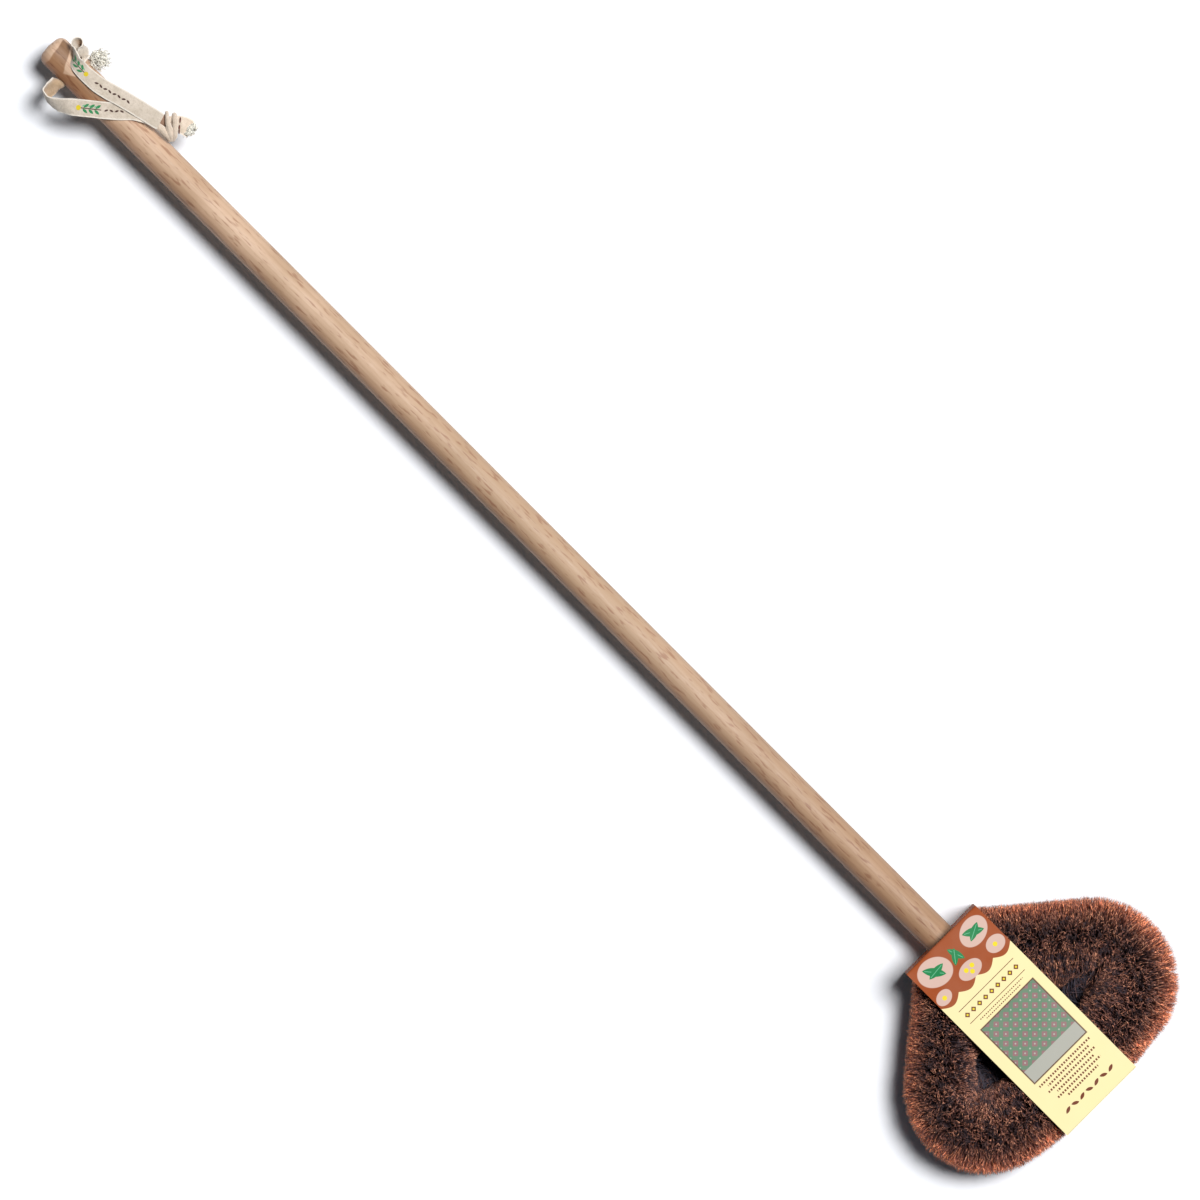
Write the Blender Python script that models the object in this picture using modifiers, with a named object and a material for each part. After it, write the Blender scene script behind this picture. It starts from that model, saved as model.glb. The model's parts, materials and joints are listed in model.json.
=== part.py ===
# A long-handled bin brush: a turned wooden handle, a loop of coir bristles twisted into two
# wires, a card sleeve round the brush head, and a cotton hanging tape through the handle's tip.
# Metres, +X from the handle's tip to the brush head, +Z up, origin under the middle of the brush.

import math
import random

import bmesh
import bpy
import numpy as np
from mathutils import Vector

MM = 0.001

# Clearances that the whole brush shares
PIECE_GAP = 0.3 * MM
CUT_OVERRUN = 2.0 * MM

# Handle: a round rod, its tip rounded over, its brush end bored for the wires
HANDLE_DIAMETER = 23.5 * MM
HANDLE_LENGTH = 893.5 * MM
HANDLE_SIDES = 48
TIP_ROUNDING = 6.0 * MM
TIP_CROWN = 0.7 * MM
TIP_STEPS = 7
END_CHAMFER = 0.8 * MM
HANG_HOLE_DIAMETER = 8.0 * MM
HANG_HOLE_FROM_TIP = 25.0 * MM
HANG_HOLE_SIDES = 32
BORE_CLEARANCE = 0.4 * MM
BORE_END_SPACE = 2.0 * MM

# Core: two wires twisted together, with the coir between them, bent into a rounded triangle
WIRE_DIAMETER = 2.2 * MM
WIRE_SEAT = 0.4 * MM
WIRE_STEPS_A_TURN = 8
TWIST_PITCH = 22.0 * MM
STEM_LENGTH = 40.0 * MM
NECK_STANDOFF = 0.8 * MM
NECK_RADIUS = 10.0 * MM
SPLAY_ANGLE = math.radians(48)
SIDE_LENGTH = 90.5 * MM
CORNER_RADIUS = 33.0 * MM
FAR_RADIUS = 282.0 * MM

# Coir: a twisted ribbon of fibre between the wires, with a tuft out of each edge at each station
RIBBON_WIDTH = 1.8 * MM
RIBBON_THICKNESS = 0.5 * MM
TUFT_STEPS_A_TURN = 10
BRISTLE_REACH = 26.0 * MM
TUFT_TIP_WIDTH = 3.4 * MM
TUFT_CROWDING_SHARE = 0.3
TUFT_UNEVEN_SHARE = 0.05
TUFT_SEARCH_STEPS = 130
OTHER_ARM_SHARE = 4.0
CORE_SAMPLE_STEP = 1.0 * MM

# Card sleeve: one folded card round the middle of the head, the handle passing through its near end
CARD_THICKNESS = 0.6 * MM
SLEEVE_WIDTH = 68.5 * MM
SLEEVE_LAP = 4.0 * MM
SLEEVE_PRESS = 1.3 * MM
SLEEVE_CLEARANCE = 0.35 * MM
SLEEVE_FOLD_RADIUS = 1.2 * MM
SLEEVE_FOLD_STEPS = 2
SLEEVE_HOLE_CLEARANCE = 0.4 * MM
SLEEVE_HOLE_SIDES = 32

# Hanging tape: flat cotton tape, gathered where it passes through the hole
TAPE_WIDTH = 12.2 * MM
TAPE_THICKNESS = 0.9 * MM
TAPE_REACH = 66.7 * MM
TAPE_SPLIT_GAP = 0.8 * MM
TAPE_RING_STEP = 5.0 * MM
TAPE_RING_TURN = math.radians(22)
TAPE_SAMPLE_STEPS = 16
TAPE_SIDES = 8
SQUARENESS_SHARE = 0.5
KNOT_LENGTH = 31.0 * MM
KNOT_SIDES = 12
THREAD_DIAMETER = 0.8 * MM
THREAD_SIDES = 24
FRAYED_LENGTH = 12.5 * MM

# Sizes that follow from those above
HANDLE_RADIUS = HANDLE_DIAMETER / 2
TWIST_RADIUS = (RIBBON_THICKNESS + WIRE_DIAMETER) / 2 + WIRE_SEAT
CORE_RADIUS = TWIST_RADIUS + WIRE_DIAMETER / 2
STEM_OFFSET = CORE_RADIUS + PIECE_GAP / 2
BORE_RADIUS = STEM_OFFSET + CORE_RADIUS + BORE_CLEARANCE
BORE_DEPTH = STEM_LENGTH + BORE_END_SPACE
SLEEVE_HALF_HEIGHT = BRISTLE_REACH + SLEEVE_CLEARANCE + CARD_THICKNESS
TUFT_MARGIN = TUFT_TIP_WIDTH / 2 + PIECE_GAP
TAPE_LAYER = TAPE_THICKNESS + PIECE_GAP


def walk(runs, distance):
    """Point and heading at a distance along runs of (length, curvature), from the end of the left stem."""
    x, y, heading = -STEM_LENGTH, STEM_OFFSET, 0.0
    for length, curvature in runs:
        step = min(distance, length)
        turned = heading + curvature * step
        if curvature:
            x += (math.sin(turned) - math.sin(heading)) / curvature
            y -= (math.cos(turned) - math.cos(heading)) / curvature
        else:
            x += step * math.cos(heading)
            y += step * math.sin(heading)
        heading = turned
        distance -= step
        if distance <= 0:
            break
    return x, y, heading


# Core route: stem, neck, straight side and corner, then the shallow far arc, and the same back
STEM_RUN = (STEM_LENGTH + NECK_STANDOFF, 0.0)
NECK_RUN = (NECK_RADIUS * SPLAY_ANGLE, 1 / NECK_RADIUS)
SIDE_RUN = (SIDE_LENGTH, 0.0)
SIDE_END = STEM_RUN[0] + NECK_RUN[0] + SIDE_LENGTH
SIDE_END_X, SIDE_END_Y, _ = walk([STEM_RUN, NECK_RUN, SIDE_RUN], SIDE_END)
CORNER_X = SIDE_END_X + CORNER_RADIUS * math.sin(SPLAY_ANGLE)
CORNER_Y = SIDE_END_Y - CORNER_RADIUS * math.cos(SPLAY_ANGLE)
FAR_HALF_ANGLE = math.asin(CORNER_Y / (FAR_RADIUS - CORNER_RADIUS))
CORNER_TURN = SPLAY_ANGLE + math.pi / 2 - FAR_HALF_ANGLE
CORNER_RUN = (CORNER_RADIUS * CORNER_TURN, -1 / CORNER_RADIUS)
FAR_RUN = (2 * FAR_RADIUS * FAR_HALF_ANGLE, -1 / FAR_RADIUS)
HALF_RUNS = [STEM_RUN, NECK_RUN, SIDE_RUN, CORNER_RUN]
CORE_RUNS = HALF_RUNS + [FAR_RUN] + HALF_RUNS[::-1]
CORE_LENGTH = sum(length for length, _ in CORE_RUNS)
BRISTLES_START = STEM_RUN[0] + NECK_RUN[0]
CORNER_END = SIDE_END + CORNER_RUN[0]
APEX_X = CORNER_X - (FAR_RADIUS - CORNER_RADIUS) * math.cos(FAR_HALF_ANGLE) + FAR_RADIUS

# Places along the whole brush, from the handle's tip
SLEEVE_START_X = -SLEEVE_LAP
SLEEVE_END_X = APEX_X + BRISTLE_REACH - SLEEVE_PRESS
OVERALL_LENGTH = HANDLE_LENGTH + SLEEVE_END_X
AXIS_HEIGHT = SLEEVE_HALF_HEIGHT
TIP_PLACE = Vector((-OVERALL_LENGTH / 2, 0, AXIS_HEIGHT))
HEAD_PLACE = TIP_PLACE + Vector((HANDLE_LENGTH, 0, 0))
HOLE_PLACE = TIP_PLACE + Vector((HANG_HOLE_FROM_TIP, 0, 0))


def clear_scene():
    for obj in list(bpy.data.objects):
        bpy.data.objects.remove(obj)


def collection(name):
    made = bpy.data.collections.new(name)
    bpy.context.scene.collection.children.link(made)
    return made


def empty(name, place, into):
    made = bpy.data.objects.new(name, None)
    made.location = place
    into.objects.link(made)
    return made


def finish(name, colour, roughness, metallic=0.0):
    """A plain material in the piece's own colour."""
    material = bpy.data.materials.new(name)
    material.use_nodes = True
    shader = material.node_tree.nodes["Principled BSDF"]
    shader.inputs["Base Color"].default_value = (*colour, 1)
    shader.inputs["Roughness"].default_value = roughness
    shader.inputs["Metallic"].default_value = metallic
    return material


def piece(name, data, parent, into, material):
    made = bpy.data.objects.new(name, data)
    made.parent = parent
    into.objects.link(made)
    data.materials.append(material)
    return made


def mesh_of(name, bm, smooth_angle=math.radians(40)):
    bmesh.ops.recalc_face_normals(bm, faces=bm.faces)
    mesh = bpy.data.meshes.new(name)
    bm.to_mesh(mesh)
    bm.free()
    mesh.shade_smooth()
    mesh.set_sharp_from_angle(angle=smooth_angle)
    return mesh


def cutter(name, radius, depth, sides, axis, place, parent, into):
    """A cylinder along X or Y that only cuts."""
    bm = bmesh.new()
    bmesh.ops.create_cone(
        bm, cap_ends=True, segments=sides, radius1=radius, radius2=radius, depth=depth
    )
    mesh = bpy.data.meshes.new(name)
    bm.to_mesh(mesh)
    bm.free()
    made = bpy.data.objects.new(name, mesh)
    made.parent = parent
    made.location = place
    made.rotation_euler = {"X": (0, math.pi / 2, 0), "Y": (math.pi / 2, 0, 0)}[axis]
    made.hide_render = True
    made.display_type = "WIRE"
    into.objects.link(made)
    return made


def cut(obj, tool):
    modifier = obj.modifiers.new(tool.name, "BOOLEAN")
    modifier.operation = "DIFFERENCE"
    modifier.object = tool


def lofted(name, rings):
    """A closed skin through rings of equally many points, with a cap on each end."""
    bm = bmesh.new()
    rows = [[bm.verts.new(point) for point in ring] for ring in rings]
    count = len(rows[0])
    for low, high in zip(rows, rows[1:]):
        for i in range(count):
            j = (i + 1) % count
            bm.faces.new((low[i], low[j], high[j], high[i]))
    bm.faces.new(rows[0])
    bm.faces.new(rows[-1])
    return mesh_of(name, bm)


def rounded_ring(centre, across, through, half_width, half_depth, corners, power):
    """Points round a flattened superellipse: power 1 is an ellipse, and less is squarer."""
    ring = []
    for k in range(corners):
        angle = 2 * math.pi * (k + 0.5) / corners
        c, s = math.cos(angle), math.sin(angle)
        wide = math.copysign(abs(c) ** power, c) * half_width
        deep = math.copysign(abs(s) ** power, s) * half_depth
        ring.append(centre + across * wide + through * deep)
    return ring


def smooth_rows(rows, steps_between):
    """Rows of numbers read from a smooth curve through the given rows."""
    rows = np.array(rows, float)
    before = np.vstack([2 * rows[0] - rows[1], rows[:-1]])
    after = np.vstack([rows[1:], 2 * rows[-1] - rows[-2]])
    slopes = (after - before) / 2
    made = []
    for i, steps in enumerate(steps_between):
        for k in range(steps):
            t = k / steps
            made.append(
                (2 * t**3 - 3 * t**2 + 1) * rows[i]
                + (t**3 - 2 * t**2 + t) * slopes[i]
                + (3 * t**2 - 2 * t**3) * rows[i + 1]
                + (t**3 - t**2) * slopes[i + 1]
            )
    made.append(rows[-1])
    return np.array(made)


def make_handle(into, cutters):
    """A turned rod: the profile runs out of the bore, over the end and down to the tip."""
    top = HANDLE_LENGTH
    profile = [
        (0, top - BORE_DEPTH),
        (BORE_RADIUS, top - BORE_DEPTH),
        (BORE_RADIUS, top),
        (HANDLE_RADIUS - END_CHAMFER, top),
        (HANDLE_RADIUS, top - END_CHAMFER),
    ]
    for k in range(TIP_STEPS + 1):
        angle = math.pi / 2 * k / TIP_STEPS
        out = HANDLE_RADIUS - TIP_ROUNDING * (1 - math.cos(angle))
        profile.append((out, TIP_CROWN + TIP_ROUNDING * (1 - math.sin(angle))))
    profile.append((0, 0))
    mesh = bpy.data.meshes.new("handle")
    edges = [(i, i + 1) for i in range(len(profile) - 1)]
    mesh.from_pydata([(out, 0, up) for out, up in profile], edges, [])
    wood = finish("handle_wood", (0.52, 0.33, 0.2), 0.6)
    handle = piece("handle", mesh, None, into, wood)
    handle.location = TIP_PLACE
    handle.rotation_euler = (0, math.pi / 2, 0)
    turn = handle.modifiers.new("turn", "SCREW")
    turn.steps = HANDLE_SIDES
    turn.render_steps = HANDLE_SIDES
    turn.use_merge_vertices = True
    turn.merge_threshold = PIECE_GAP / 10
    hole = cutter(
        "hang_hole_cut",
        HANG_HOLE_DIAMETER / 2,
        HANDLE_DIAMETER + 2 * CUT_OVERRUN,
        HANG_HOLE_SIDES,
        "Y",
        HOLE_PLACE,
        None,
        cutters,
    )
    cut(handle, hole)


def core_frame(distance):
    """Centre, tangent and sideways direction of the core at a distance along it."""
    x, y, heading = walk(CORE_RUNS, distance)
    tangent = Vector((math.cos(heading), math.sin(heading), 0))
    sideways = Vector((-math.sin(heading), math.cos(heading), 0))
    return Vector((x, y, 0)), tangent, sideways


def twist(distance):
    return 2 * math.pi * distance / TWIST_PITCH


def radial(sideways, angle):
    return sideways * math.cos(angle) + Vector((0, 0, math.sin(angle)))


def make_wire(name, phase, head, into, material):
    """One of the two wires, wound round the core's line."""
    curve = bpy.data.curves.new(name, "CURVE")
    curve.dimensions = "3D"
    curve.bevel_depth = WIRE_DIAMETER / 2
    curve.bevel_resolution = 1
    curve.use_fill_caps = True
    count = round(CORE_LENGTH / TWIST_PITCH * WIRE_STEPS_A_TURN)
    spline = curve.splines.new("POLY")
    spline.points.add(count)
    for k, point in enumerate(spline.points):
        distance = CORE_LENGTH * k / count
        centre, _, sideways = core_frame(distance)
        out = radial(sideways, twist(distance) + phase)
        point.co = (*(centre + out * TWIST_RADIUS), 1)
    piece(name, curve, head, into, material)


def core_samples():
    """Distances along the core's bristled length, and the points there."""
    count = round((CORE_LENGTH - 2 * BRISTLES_START) / CORE_SAMPLE_STEP)
    distances = np.linspace(BRISTLES_START, CORE_LENGTH - BRISTLES_START, count)
    points = np.array([core_frame(s)[0] for s in distances])
    return distances, points


def free_reach(distance, centre, direction, samples):
    """How far a tuft grows before it meets the other arm, the handle's end or the sleeve's ends."""
    distances, points = samples
    reach = np.linspace(0, BRISTLE_REACH, TUFT_SEARCH_STEPS)
    tips = np.array(centre) + reach[:, None] * np.array(direction)
    other = points[np.abs(distances - distance) > OTHER_ARM_SHARE * CORNER_RADIUS]
    apart = np.linalg.norm(tips[:, None] - other[None], axis=2).min(axis=1)
    blocked = apart < reach + TUFT_TIP_WIDTH
    out = np.hypot(tips[:, 1], tips[:, 2])
    blocked |= (out < HANDLE_RADIUS + TUFT_MARGIN) & (tips[:, 0] < TUFT_MARGIN)
    under = np.abs(tips[:, 1]) < SLEEVE_WIDTH / 2 + TUFT_MARGIN
    ends = CARD_THICKNESS + TUFT_MARGIN
    blocked |= under & (tips[:, 0] < SLEEVE_START_X + ends)
    blocked |= under & (tips[:, 0] > SLEEVE_END_X - ends)
    blocked |= reach >= BRISTLE_REACH
    return reach[np.argmax(blocked)]


def tuft_half_width(reach, direction, sideways, curvature):
    """Half of a tuft's tip: narrower on a short tuft, and inside a bend, where tufts converge."""
    root = TWIST_PITCH / TUFT_STEPS_A_TURN / 4
    grown = root + (TUFT_TIP_WIDTH / 2 - root) * reach / BRISTLE_REACH
    spacing = TWIST_PITCH / 2 * (1 - curvature * reach * direction.dot(sideways))
    return min(grown, TUFT_CROWDING_SHARE * spacing)


def curvature_at(distance):
    for length, curvature in CORE_RUNS:
        if distance <= length:
            return curvature
        distance -= length
    return 0.0


def make_bristles(name, start, end, head, into, material, samples, dice):
    """A slice of the twisted fibre ribbon, with a tuft drawn out of both its edges at each station."""
    start += PIECE_GAP / 2
    end -= PIECE_GAP / 2
    stations = round((end - start) / TWIST_PITCH * TUFT_STEPS_A_TURN)
    sections = 2 * stations + 2
    bm = bmesh.new()
    rows = []
    for k in range(sections):
        distance = start + (end - start) * k / (sections - 1)
        centre, _, sideways = core_frame(distance)
        wide = radial(sideways, twist(distance)) * (RIBBON_WIDTH / 2)
        thick = radial(sideways, twist(distance) + math.pi / 2) * (RIBBON_THICKNESS / 2)
        corners = (wide + thick, thick - wide, -wide - thick, wide - thick)
        rows.append([bm.verts.new(centre + corner) for corner in corners])
    roots = []
    for k, (low, high) in enumerate(zip(rows, rows[1:])):
        for i in range(4):
            j = (i + 1) % 4
            face = bm.faces.new((low[i], low[j], high[j], high[i]))
            if k % 2 and i % 2:
                roots.append((face, k, i))
    bm.faces.new(rows[0])
    bm.faces.new(rows[-1])
    bmesh.ops.recalc_face_normals(bm, faces=bm.faces)
    for face, k, i in roots:
        distance = start + (end - start) * (k + 0.5) / (sections - 1)
        grow_tuft(bm, face, distance, 1 if i == 3 else -1, samples, dice)
    piece(name, mesh_of(name, bm), head, into, material)


def grow_tuft(bm, face, distance, side, samples, dice):
    """Draws one edge face of the ribbon out to the tuft's tip."""
    centre, tangent, sideways = core_frame(distance)
    direction = radial(sideways, twist(distance)) * side
    around = radial(sideways, twist(distance) + math.pi / 2)
    reach = free_reach(distance, centre, direction, samples)
    reach *= 1 - TUFT_UNEVEN_SHARE * dice.random()
    reach = max(reach, RIBBON_WIDTH)
    half = tuft_half_width(reach, direction, sideways, curvature_at(distance))
    middle = face.calc_center_median()
    made = bmesh.ops.extrude_discrete_faces(bm, faces=[face])["faces"][0]
    for vert in made.verts:
        offset = vert.co - middle
        along = math.copysign(half, offset.dot(tangent))
        turned = math.copysign(half, offset.dot(around))
        vert.co = centre + direction * reach + tangent * along + around * turned


def make_head(head, into):
    zinc = finish("galvanised_wire", (0.45, 0.45, 0.44), 0.4, 1.0)
    coir = finish("coir_fibre", (0.13, 0.06, 0.035), 0.85)
    make_wire("core_wire_a", math.pi / 2, head, into, zinc)
    make_wire("core_wire_b", -math.pi / 2, head, into, zinc)
    samples = core_samples()
    dice = random.Random(7)
    corner_middle = (SIDE_END + CORNER_END) / 2
    slices = [
        ("near", BRISTLES_START, SIDE_END),
        ("corner_near", SIDE_END, corner_middle),
        ("corner_far", corner_middle, CORNER_END),
        ("far", CORNER_END, CORE_LENGTH / 2),
    ]
    for place, start, end in slices:
        make_bristles(
            f"bristles_{place}_left", start, end, head, into, coir, samples, dice
        )
        make_bristles(
            f"bristles_{place}_right",
            CORE_LENGTH - end,
            CORE_LENGTH - start,
            head,
            into,
            coir,
            samples,
            dice,
        )


def make_sleeve(head, into, cutters):
    """A card folded into a flat box, open at its two long sides, with a round hole for the handle."""
    length = SLEEVE_END_X - SLEEVE_START_X
    bm = bmesh.new()
    bmesh.ops.create_cube(bm, size=1)
    bmesh.ops.scale(bm, vec=(length, SLEEVE_WIDTH, 2 * SLEEVE_HALF_HEIGHT), verts=bm.verts)
    sides = [face for face in bm.faces if abs(face.normal.y) > 0.5]
    bmesh.ops.delete(bm, geom=sides, context="FACES_ONLY")
    folds = [edge for edge in bm.edges if not edge.is_boundary]
    bmesh.ops.bevel(
        bm,
        geom=folds,
        offset=SLEEVE_FOLD_RADIUS,
        segments=SLEEVE_FOLD_STEPS,
        profile=0.5,
        affect="EDGES",
    )
    mesh = bpy.data.meshes.new("card_sleeve")
    bm.to_mesh(mesh)
    bm.free()
    card = finish("printed_card", (0.86, 0.8, 0.6), 0.55)
    sleeve = piece("card_sleeve", mesh, head, into, card)
    sleeve.location = ((SLEEVE_START_X + SLEEVE_END_X) / 2, 0, 0)
    wall = sleeve.modifiers.new("wall", "SOLIDIFY")
    wall.thickness = CARD_THICKNESS
    wall.offset = -1
    wall.use_even_offset = True
    hole = cutter(
        "sleeve_hole_cut",
        HANDLE_RADIUS + SLEEVE_HOLE_CLEARANCE,
        2 * (SLEEVE_LAP + CUT_OVERRUN),
        SLEEVE_HOLE_SIDES,
        "X",
        Vector((SLEEVE_START_X, 0, 0)),
        head,
        cutters,
    )
    cut(sleeve, hole)


# Route of the tape, from the knot along the lower strap, round the bight on the left, through the
# hole, up over the right edge, round the fold and back along the upper strap.
# Columns: along as a share of the tape's reach, sideways and up as shares of the handle's radius,
# layers of tape under its middle line, the direction across the tape, and its half width and
# half depth as shares of the flat tape's.
TAPE_ROUTE_SHARES = [
    (0.985, 1.44, 1.00, 0.5, (0.30, -0.95, 0.0), 1.0, 1.0),
    (0.919, 1.32, 1.00, 0.5, (0.40, -0.92, 0.0), 1.0, 1.0),
    (0.772, 0.84, 1.00, 0.5, (0.62, -0.79, 0.0), 1.0, 1.0),
    (0.658, 0.22, 1.00, 0.5, (0.69, -0.72, 0.0), 1.0, 1.0),
    (0.546, -0.37, 1.00, 0.5, (0.64, -0.77, 0.0), 1.0, 1.0),
    (0.400, -1.00, 1.02, 0.5, (0.65, -0.76, 0.0), 1.0, 1.0),
    (0.300, -1.48, 1.01, 0.5, (0.64, -0.77, 0.04), 1.0, 1.0),
    (0.211, -1.92, 0.98, 0.5, (0.55, -0.83, 0.10), 1.0, 1.0),
    (0.100, -2.20, 0.95, 0.5, (0.52, -0.83, 0.18), 1.0, 1.0),
    (0.026, -2.29, 0.86, 0.5, (0.66, -0.73, 0.16), 1.06, 1.0),
    (-0.020, -2.27, 0.64, 0.5, (0.80, -0.60, 0.08), 1.12, 1.0),
    (-0.032, -2.02, 0.42, 0.5, (0.90, -0.32, 0.30), 1.0, 1.0),
    (-0.024, -1.64, 0.24, 0.5, (0.90, -0.10, 0.42), 0.78, 1.5),
    (-0.008, -1.30, 0.07, 0.5, (0.94, 0.0, 0.34), 0.55, 2.7),
    (0.0, -1.02, 0.0, 0.0, (1.0, 0.0, 0.0), 0.48, 4.0),
    (0.0, 0.0, 0.0, 0.0, (1.0, 0.0, 0.0), 0.46, 4.4),
    (0.0, 1.02, 0.0, 0.0, (1.0, 0.0, 0.0), 0.48, 4.0),
    (-0.008, 1.29, 0.12, 0.0, (0.98, 0.0, 0.20), 0.56, 2.7),
    (-0.040, 1.50, 0.50, 0.0, (0.93, 0.0, 0.37), 0.76, 1.5),
    (-0.078, 1.57, 0.98, 0.0, (0.92, -0.10, 0.38), 0.95, 1.0),
    (-0.100, 1.42, 1.34, 0.0, (0.95, -0.22, 0.20), 1.0, 1.0),
    (-0.113, 1.06, 1.50, 0.0, (0.90, -0.43, 0.0), 1.0, 1.0),
    (-0.117, 0.66, 1.42, 0.0, (0.76, -0.65, 0.0), 1.08, 1.0),
    (-0.114, 0.40, 1.29, 0.0, (0.62, -0.78, 0.0), 1.24, 1.0),
    (-0.134, 0.20, 1.34, 0.5, (0.54, -0.84, 0.0), 1.36, 1.0),
    (-0.092, 0.25, 1.49, 1.0, (0.48, -0.88, 0.0), 1.24, 1.0),
    (-0.030, 0.31, 1.47, 1.5, (0.34, -0.94, 0.0), 1.08, 1.0),
    (0.080, 0.40, 1.32, 1.5, (0.24, -0.97, 0.0), 1.0, 1.0),
    (0.230, 0.49, 1.12, 1.5, (0.21, -0.98, 0.0), 1.0, 1.0),
    (0.400, 0.63, 1.02, 1.5, (0.21, -0.98, 0.0), 1.0, 1.0),
    (0.583, 0.885, 1.00, 1.5, (0.21, -0.98, 0.0), 1.0, 1.0),
    (0.780, 1.17, 1.00, 1.5, (0.22, -0.975, 0.0), 1.0, 1.0),
    (0.985, 1.44, 1.00, 1.5, (0.26, -0.965, 0.0), 1.0, 1.0),
]
# The straps are cut off where the route is this far from the hole, as a share of the tape's reach
TAPE_SPLIT_SHARE = 0.4

# Knot with its doubled tail: along as a share of the knot's length, its heading in degrees, half
# width as a share of the tape's half width, half depth as a share of that, and the drop as a
# share of the tape's half width.
KNOT_RING_SHARES = [
    (0.00, 14, 0.98, 0.20, 0.00),
    (0.08, 14, 1.08, 0.36, 0.05),
    (0.20, 18, 1.18, 0.50, 0.12),
    (0.32, 28, 1.14, 0.50, 0.20),
    (0.44, 38, 0.98, 0.40, 0.26),
    (0.54, 43, 0.86, 0.26, 0.30),
    (0.62, 42, 0.90, 0.20, 0.33),
    (0.72, 40, 1.00, 0.26, 0.36),
    (0.86, 36, 1.04, 0.32, 0.40),
    (1.00, 34, 0.80, 0.22, 0.42),
]
# The thread is tied round the ring nearest to this share of the knot's length
THREAD_PLACE_SHARE = 0.62

# Frayed end beside the hole: along as a share of its length, half width and half height as
# shares of the tape's half width; its start is in shares of the handle's radius
FRAYED_RING_SHARES = [
    (0.00, 0.22, 0.30),
    (0.14, 0.56, 0.60),
    (0.38, 0.98, 0.86),
    (0.66, 1.08, 0.92),
    (0.86, 0.92, 0.78),
    (1.00, 0.60, 0.52),
]
FRAYED_START_SHARES = (0.215, 1.52, 0.36)
FRAYED_HEADING = math.radians(6)


def tape_rows():
    """Route of the tape in metres from the hole's middle, closely sampled, and each row's place on it."""
    rows = []
    for along, side, up, layers, across, wide, deep in TAPE_ROUTE_SHARES:
        height = up * HANDLE_RADIUS + layers * TAPE_LAYER
        place = (along * TAPE_REACH, side * HANDLE_RADIUS, height)
        half = (wide * TAPE_WIDTH / 2, deep * TAPE_THICKNESS / 2)
        rows.append((*place, *across, *half))
    sampled = smooth_rows(rows, [TAPE_SAMPLE_STEPS] * (len(rows) - 1))
    steps = np.linalg.norm(np.diff(sampled[:, :3], axis=0), axis=1)
    return sampled, np.concatenate([[0], np.cumsum(steps)])


def ring_places(rows, lengths, start, end):
    """Places for rings between two lengths along the route, closer together where it bends."""
    step = np.diff(rows[:, :3], axis=0)
    step /= np.linalg.norm(step, axis=1)[:, None]
    bend = np.arccos(np.clip((step[1:] * step[:-1]).sum(axis=1), -1, 1))
    turned = np.concatenate([[0, 0], np.cumsum(bend)])
    effort = lengths / TAPE_RING_STEP + turned / TAPE_RING_TURN
    first, last = np.interp([start, end], lengths, effort)
    count = max(2, math.ceil(last - first))
    return np.interp(np.linspace(first, last, count + 1), effort, lengths)


def make_tape_piece(name, start, end, route, pivot, into, material):
    rows, lengths = route
    rings = []
    for place in ring_places(rows, lengths, start, end):
        row = [np.interp(place, lengths, column) for column in rows.T]
        ahead = [np.interp(place + PIECE_GAP, lengths, column) for column in rows.T[:3]]
        behind = [np.interp(place - PIECE_GAP, lengths, column) for column in rows.T[:3]]
        tangent = (Vector(ahead) - Vector(behind)).normalized()
        across = Vector(row[3:6]).normalized()
        through = tangent.cross(across).normalized()
        middle = Vector(row[:3])
        rings.append(
            rounded_ring(
                middle, across, through, row[6], row[7], TAPE_SIDES, SQUARENESS_SHARE
            )
        )
    piece(name, lofted(name, rings), pivot, into, material)


def make_tape(pivot, into, material):
    """The two straps that swing, and between them the stretch that stays in and round the handle."""
    route = tape_rows()
    rows, lengths = route
    kept = lengths[rows[:, 0] < TAPE_SPLIT_SHARE * TAPE_REACH]
    lower, upper = kept[0], kept[-1]
    half_gap = TAPE_SPLIT_GAP / 2
    stretches = [
        ("hang_tape_lower", lengths[0], lower - half_gap),
        ("hang_tape_fold", lower + half_gap, upper - half_gap),
        ("hang_tape_upper", upper + half_gap, lengths[-1]),
    ]
    for name, start, end in stretches:
        make_tape_piece(name, start, end, route, pivot, into, material)


def knot_frames():
    """Middle, direction across, half width and half depth of each ring of the knot and its tail."""
    first, last = TAPE_ROUTE_SHARES[0], TAPE_ROUTE_SHARES[-1]
    height = last[2] * HANDLE_RADIUS + (first[3] + last[3]) / 2 * TAPE_LAYER
    middle = Vector((last[0] * TAPE_REACH, last[1] * HANDLE_RADIUS, height))
    frames = []
    before = -PIECE_GAP / KNOT_LENGTH * 2
    for share, degrees, wide, deep, drop in KNOT_RING_SHARES:
        angle = math.radians(degrees)
        heading = Vector((math.cos(angle), math.sin(angle), 0))
        middle = middle + heading * ((share - before) * KNOT_LENGTH)
        before = share
        across = Vector((math.sin(angle), -math.cos(angle), 0))
        half = wide * TAPE_WIDTH / 2
        sunk = middle - Vector((0, 0, drop * TAPE_WIDTH / 2))
        frames.append((sunk, across, half, deep * half))
    return frames


def make_knot(pivot, into, material):
    up = Vector((0, 0, 1))
    rings = [
        rounded_ring(middle, across, up, wide, deep, KNOT_SIDES, 1)
        for middle, across, wide, deep in knot_frames()
    ]
    piece("tape_knot", lofted("tape_knot", rings), pivot, into, material)


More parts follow.
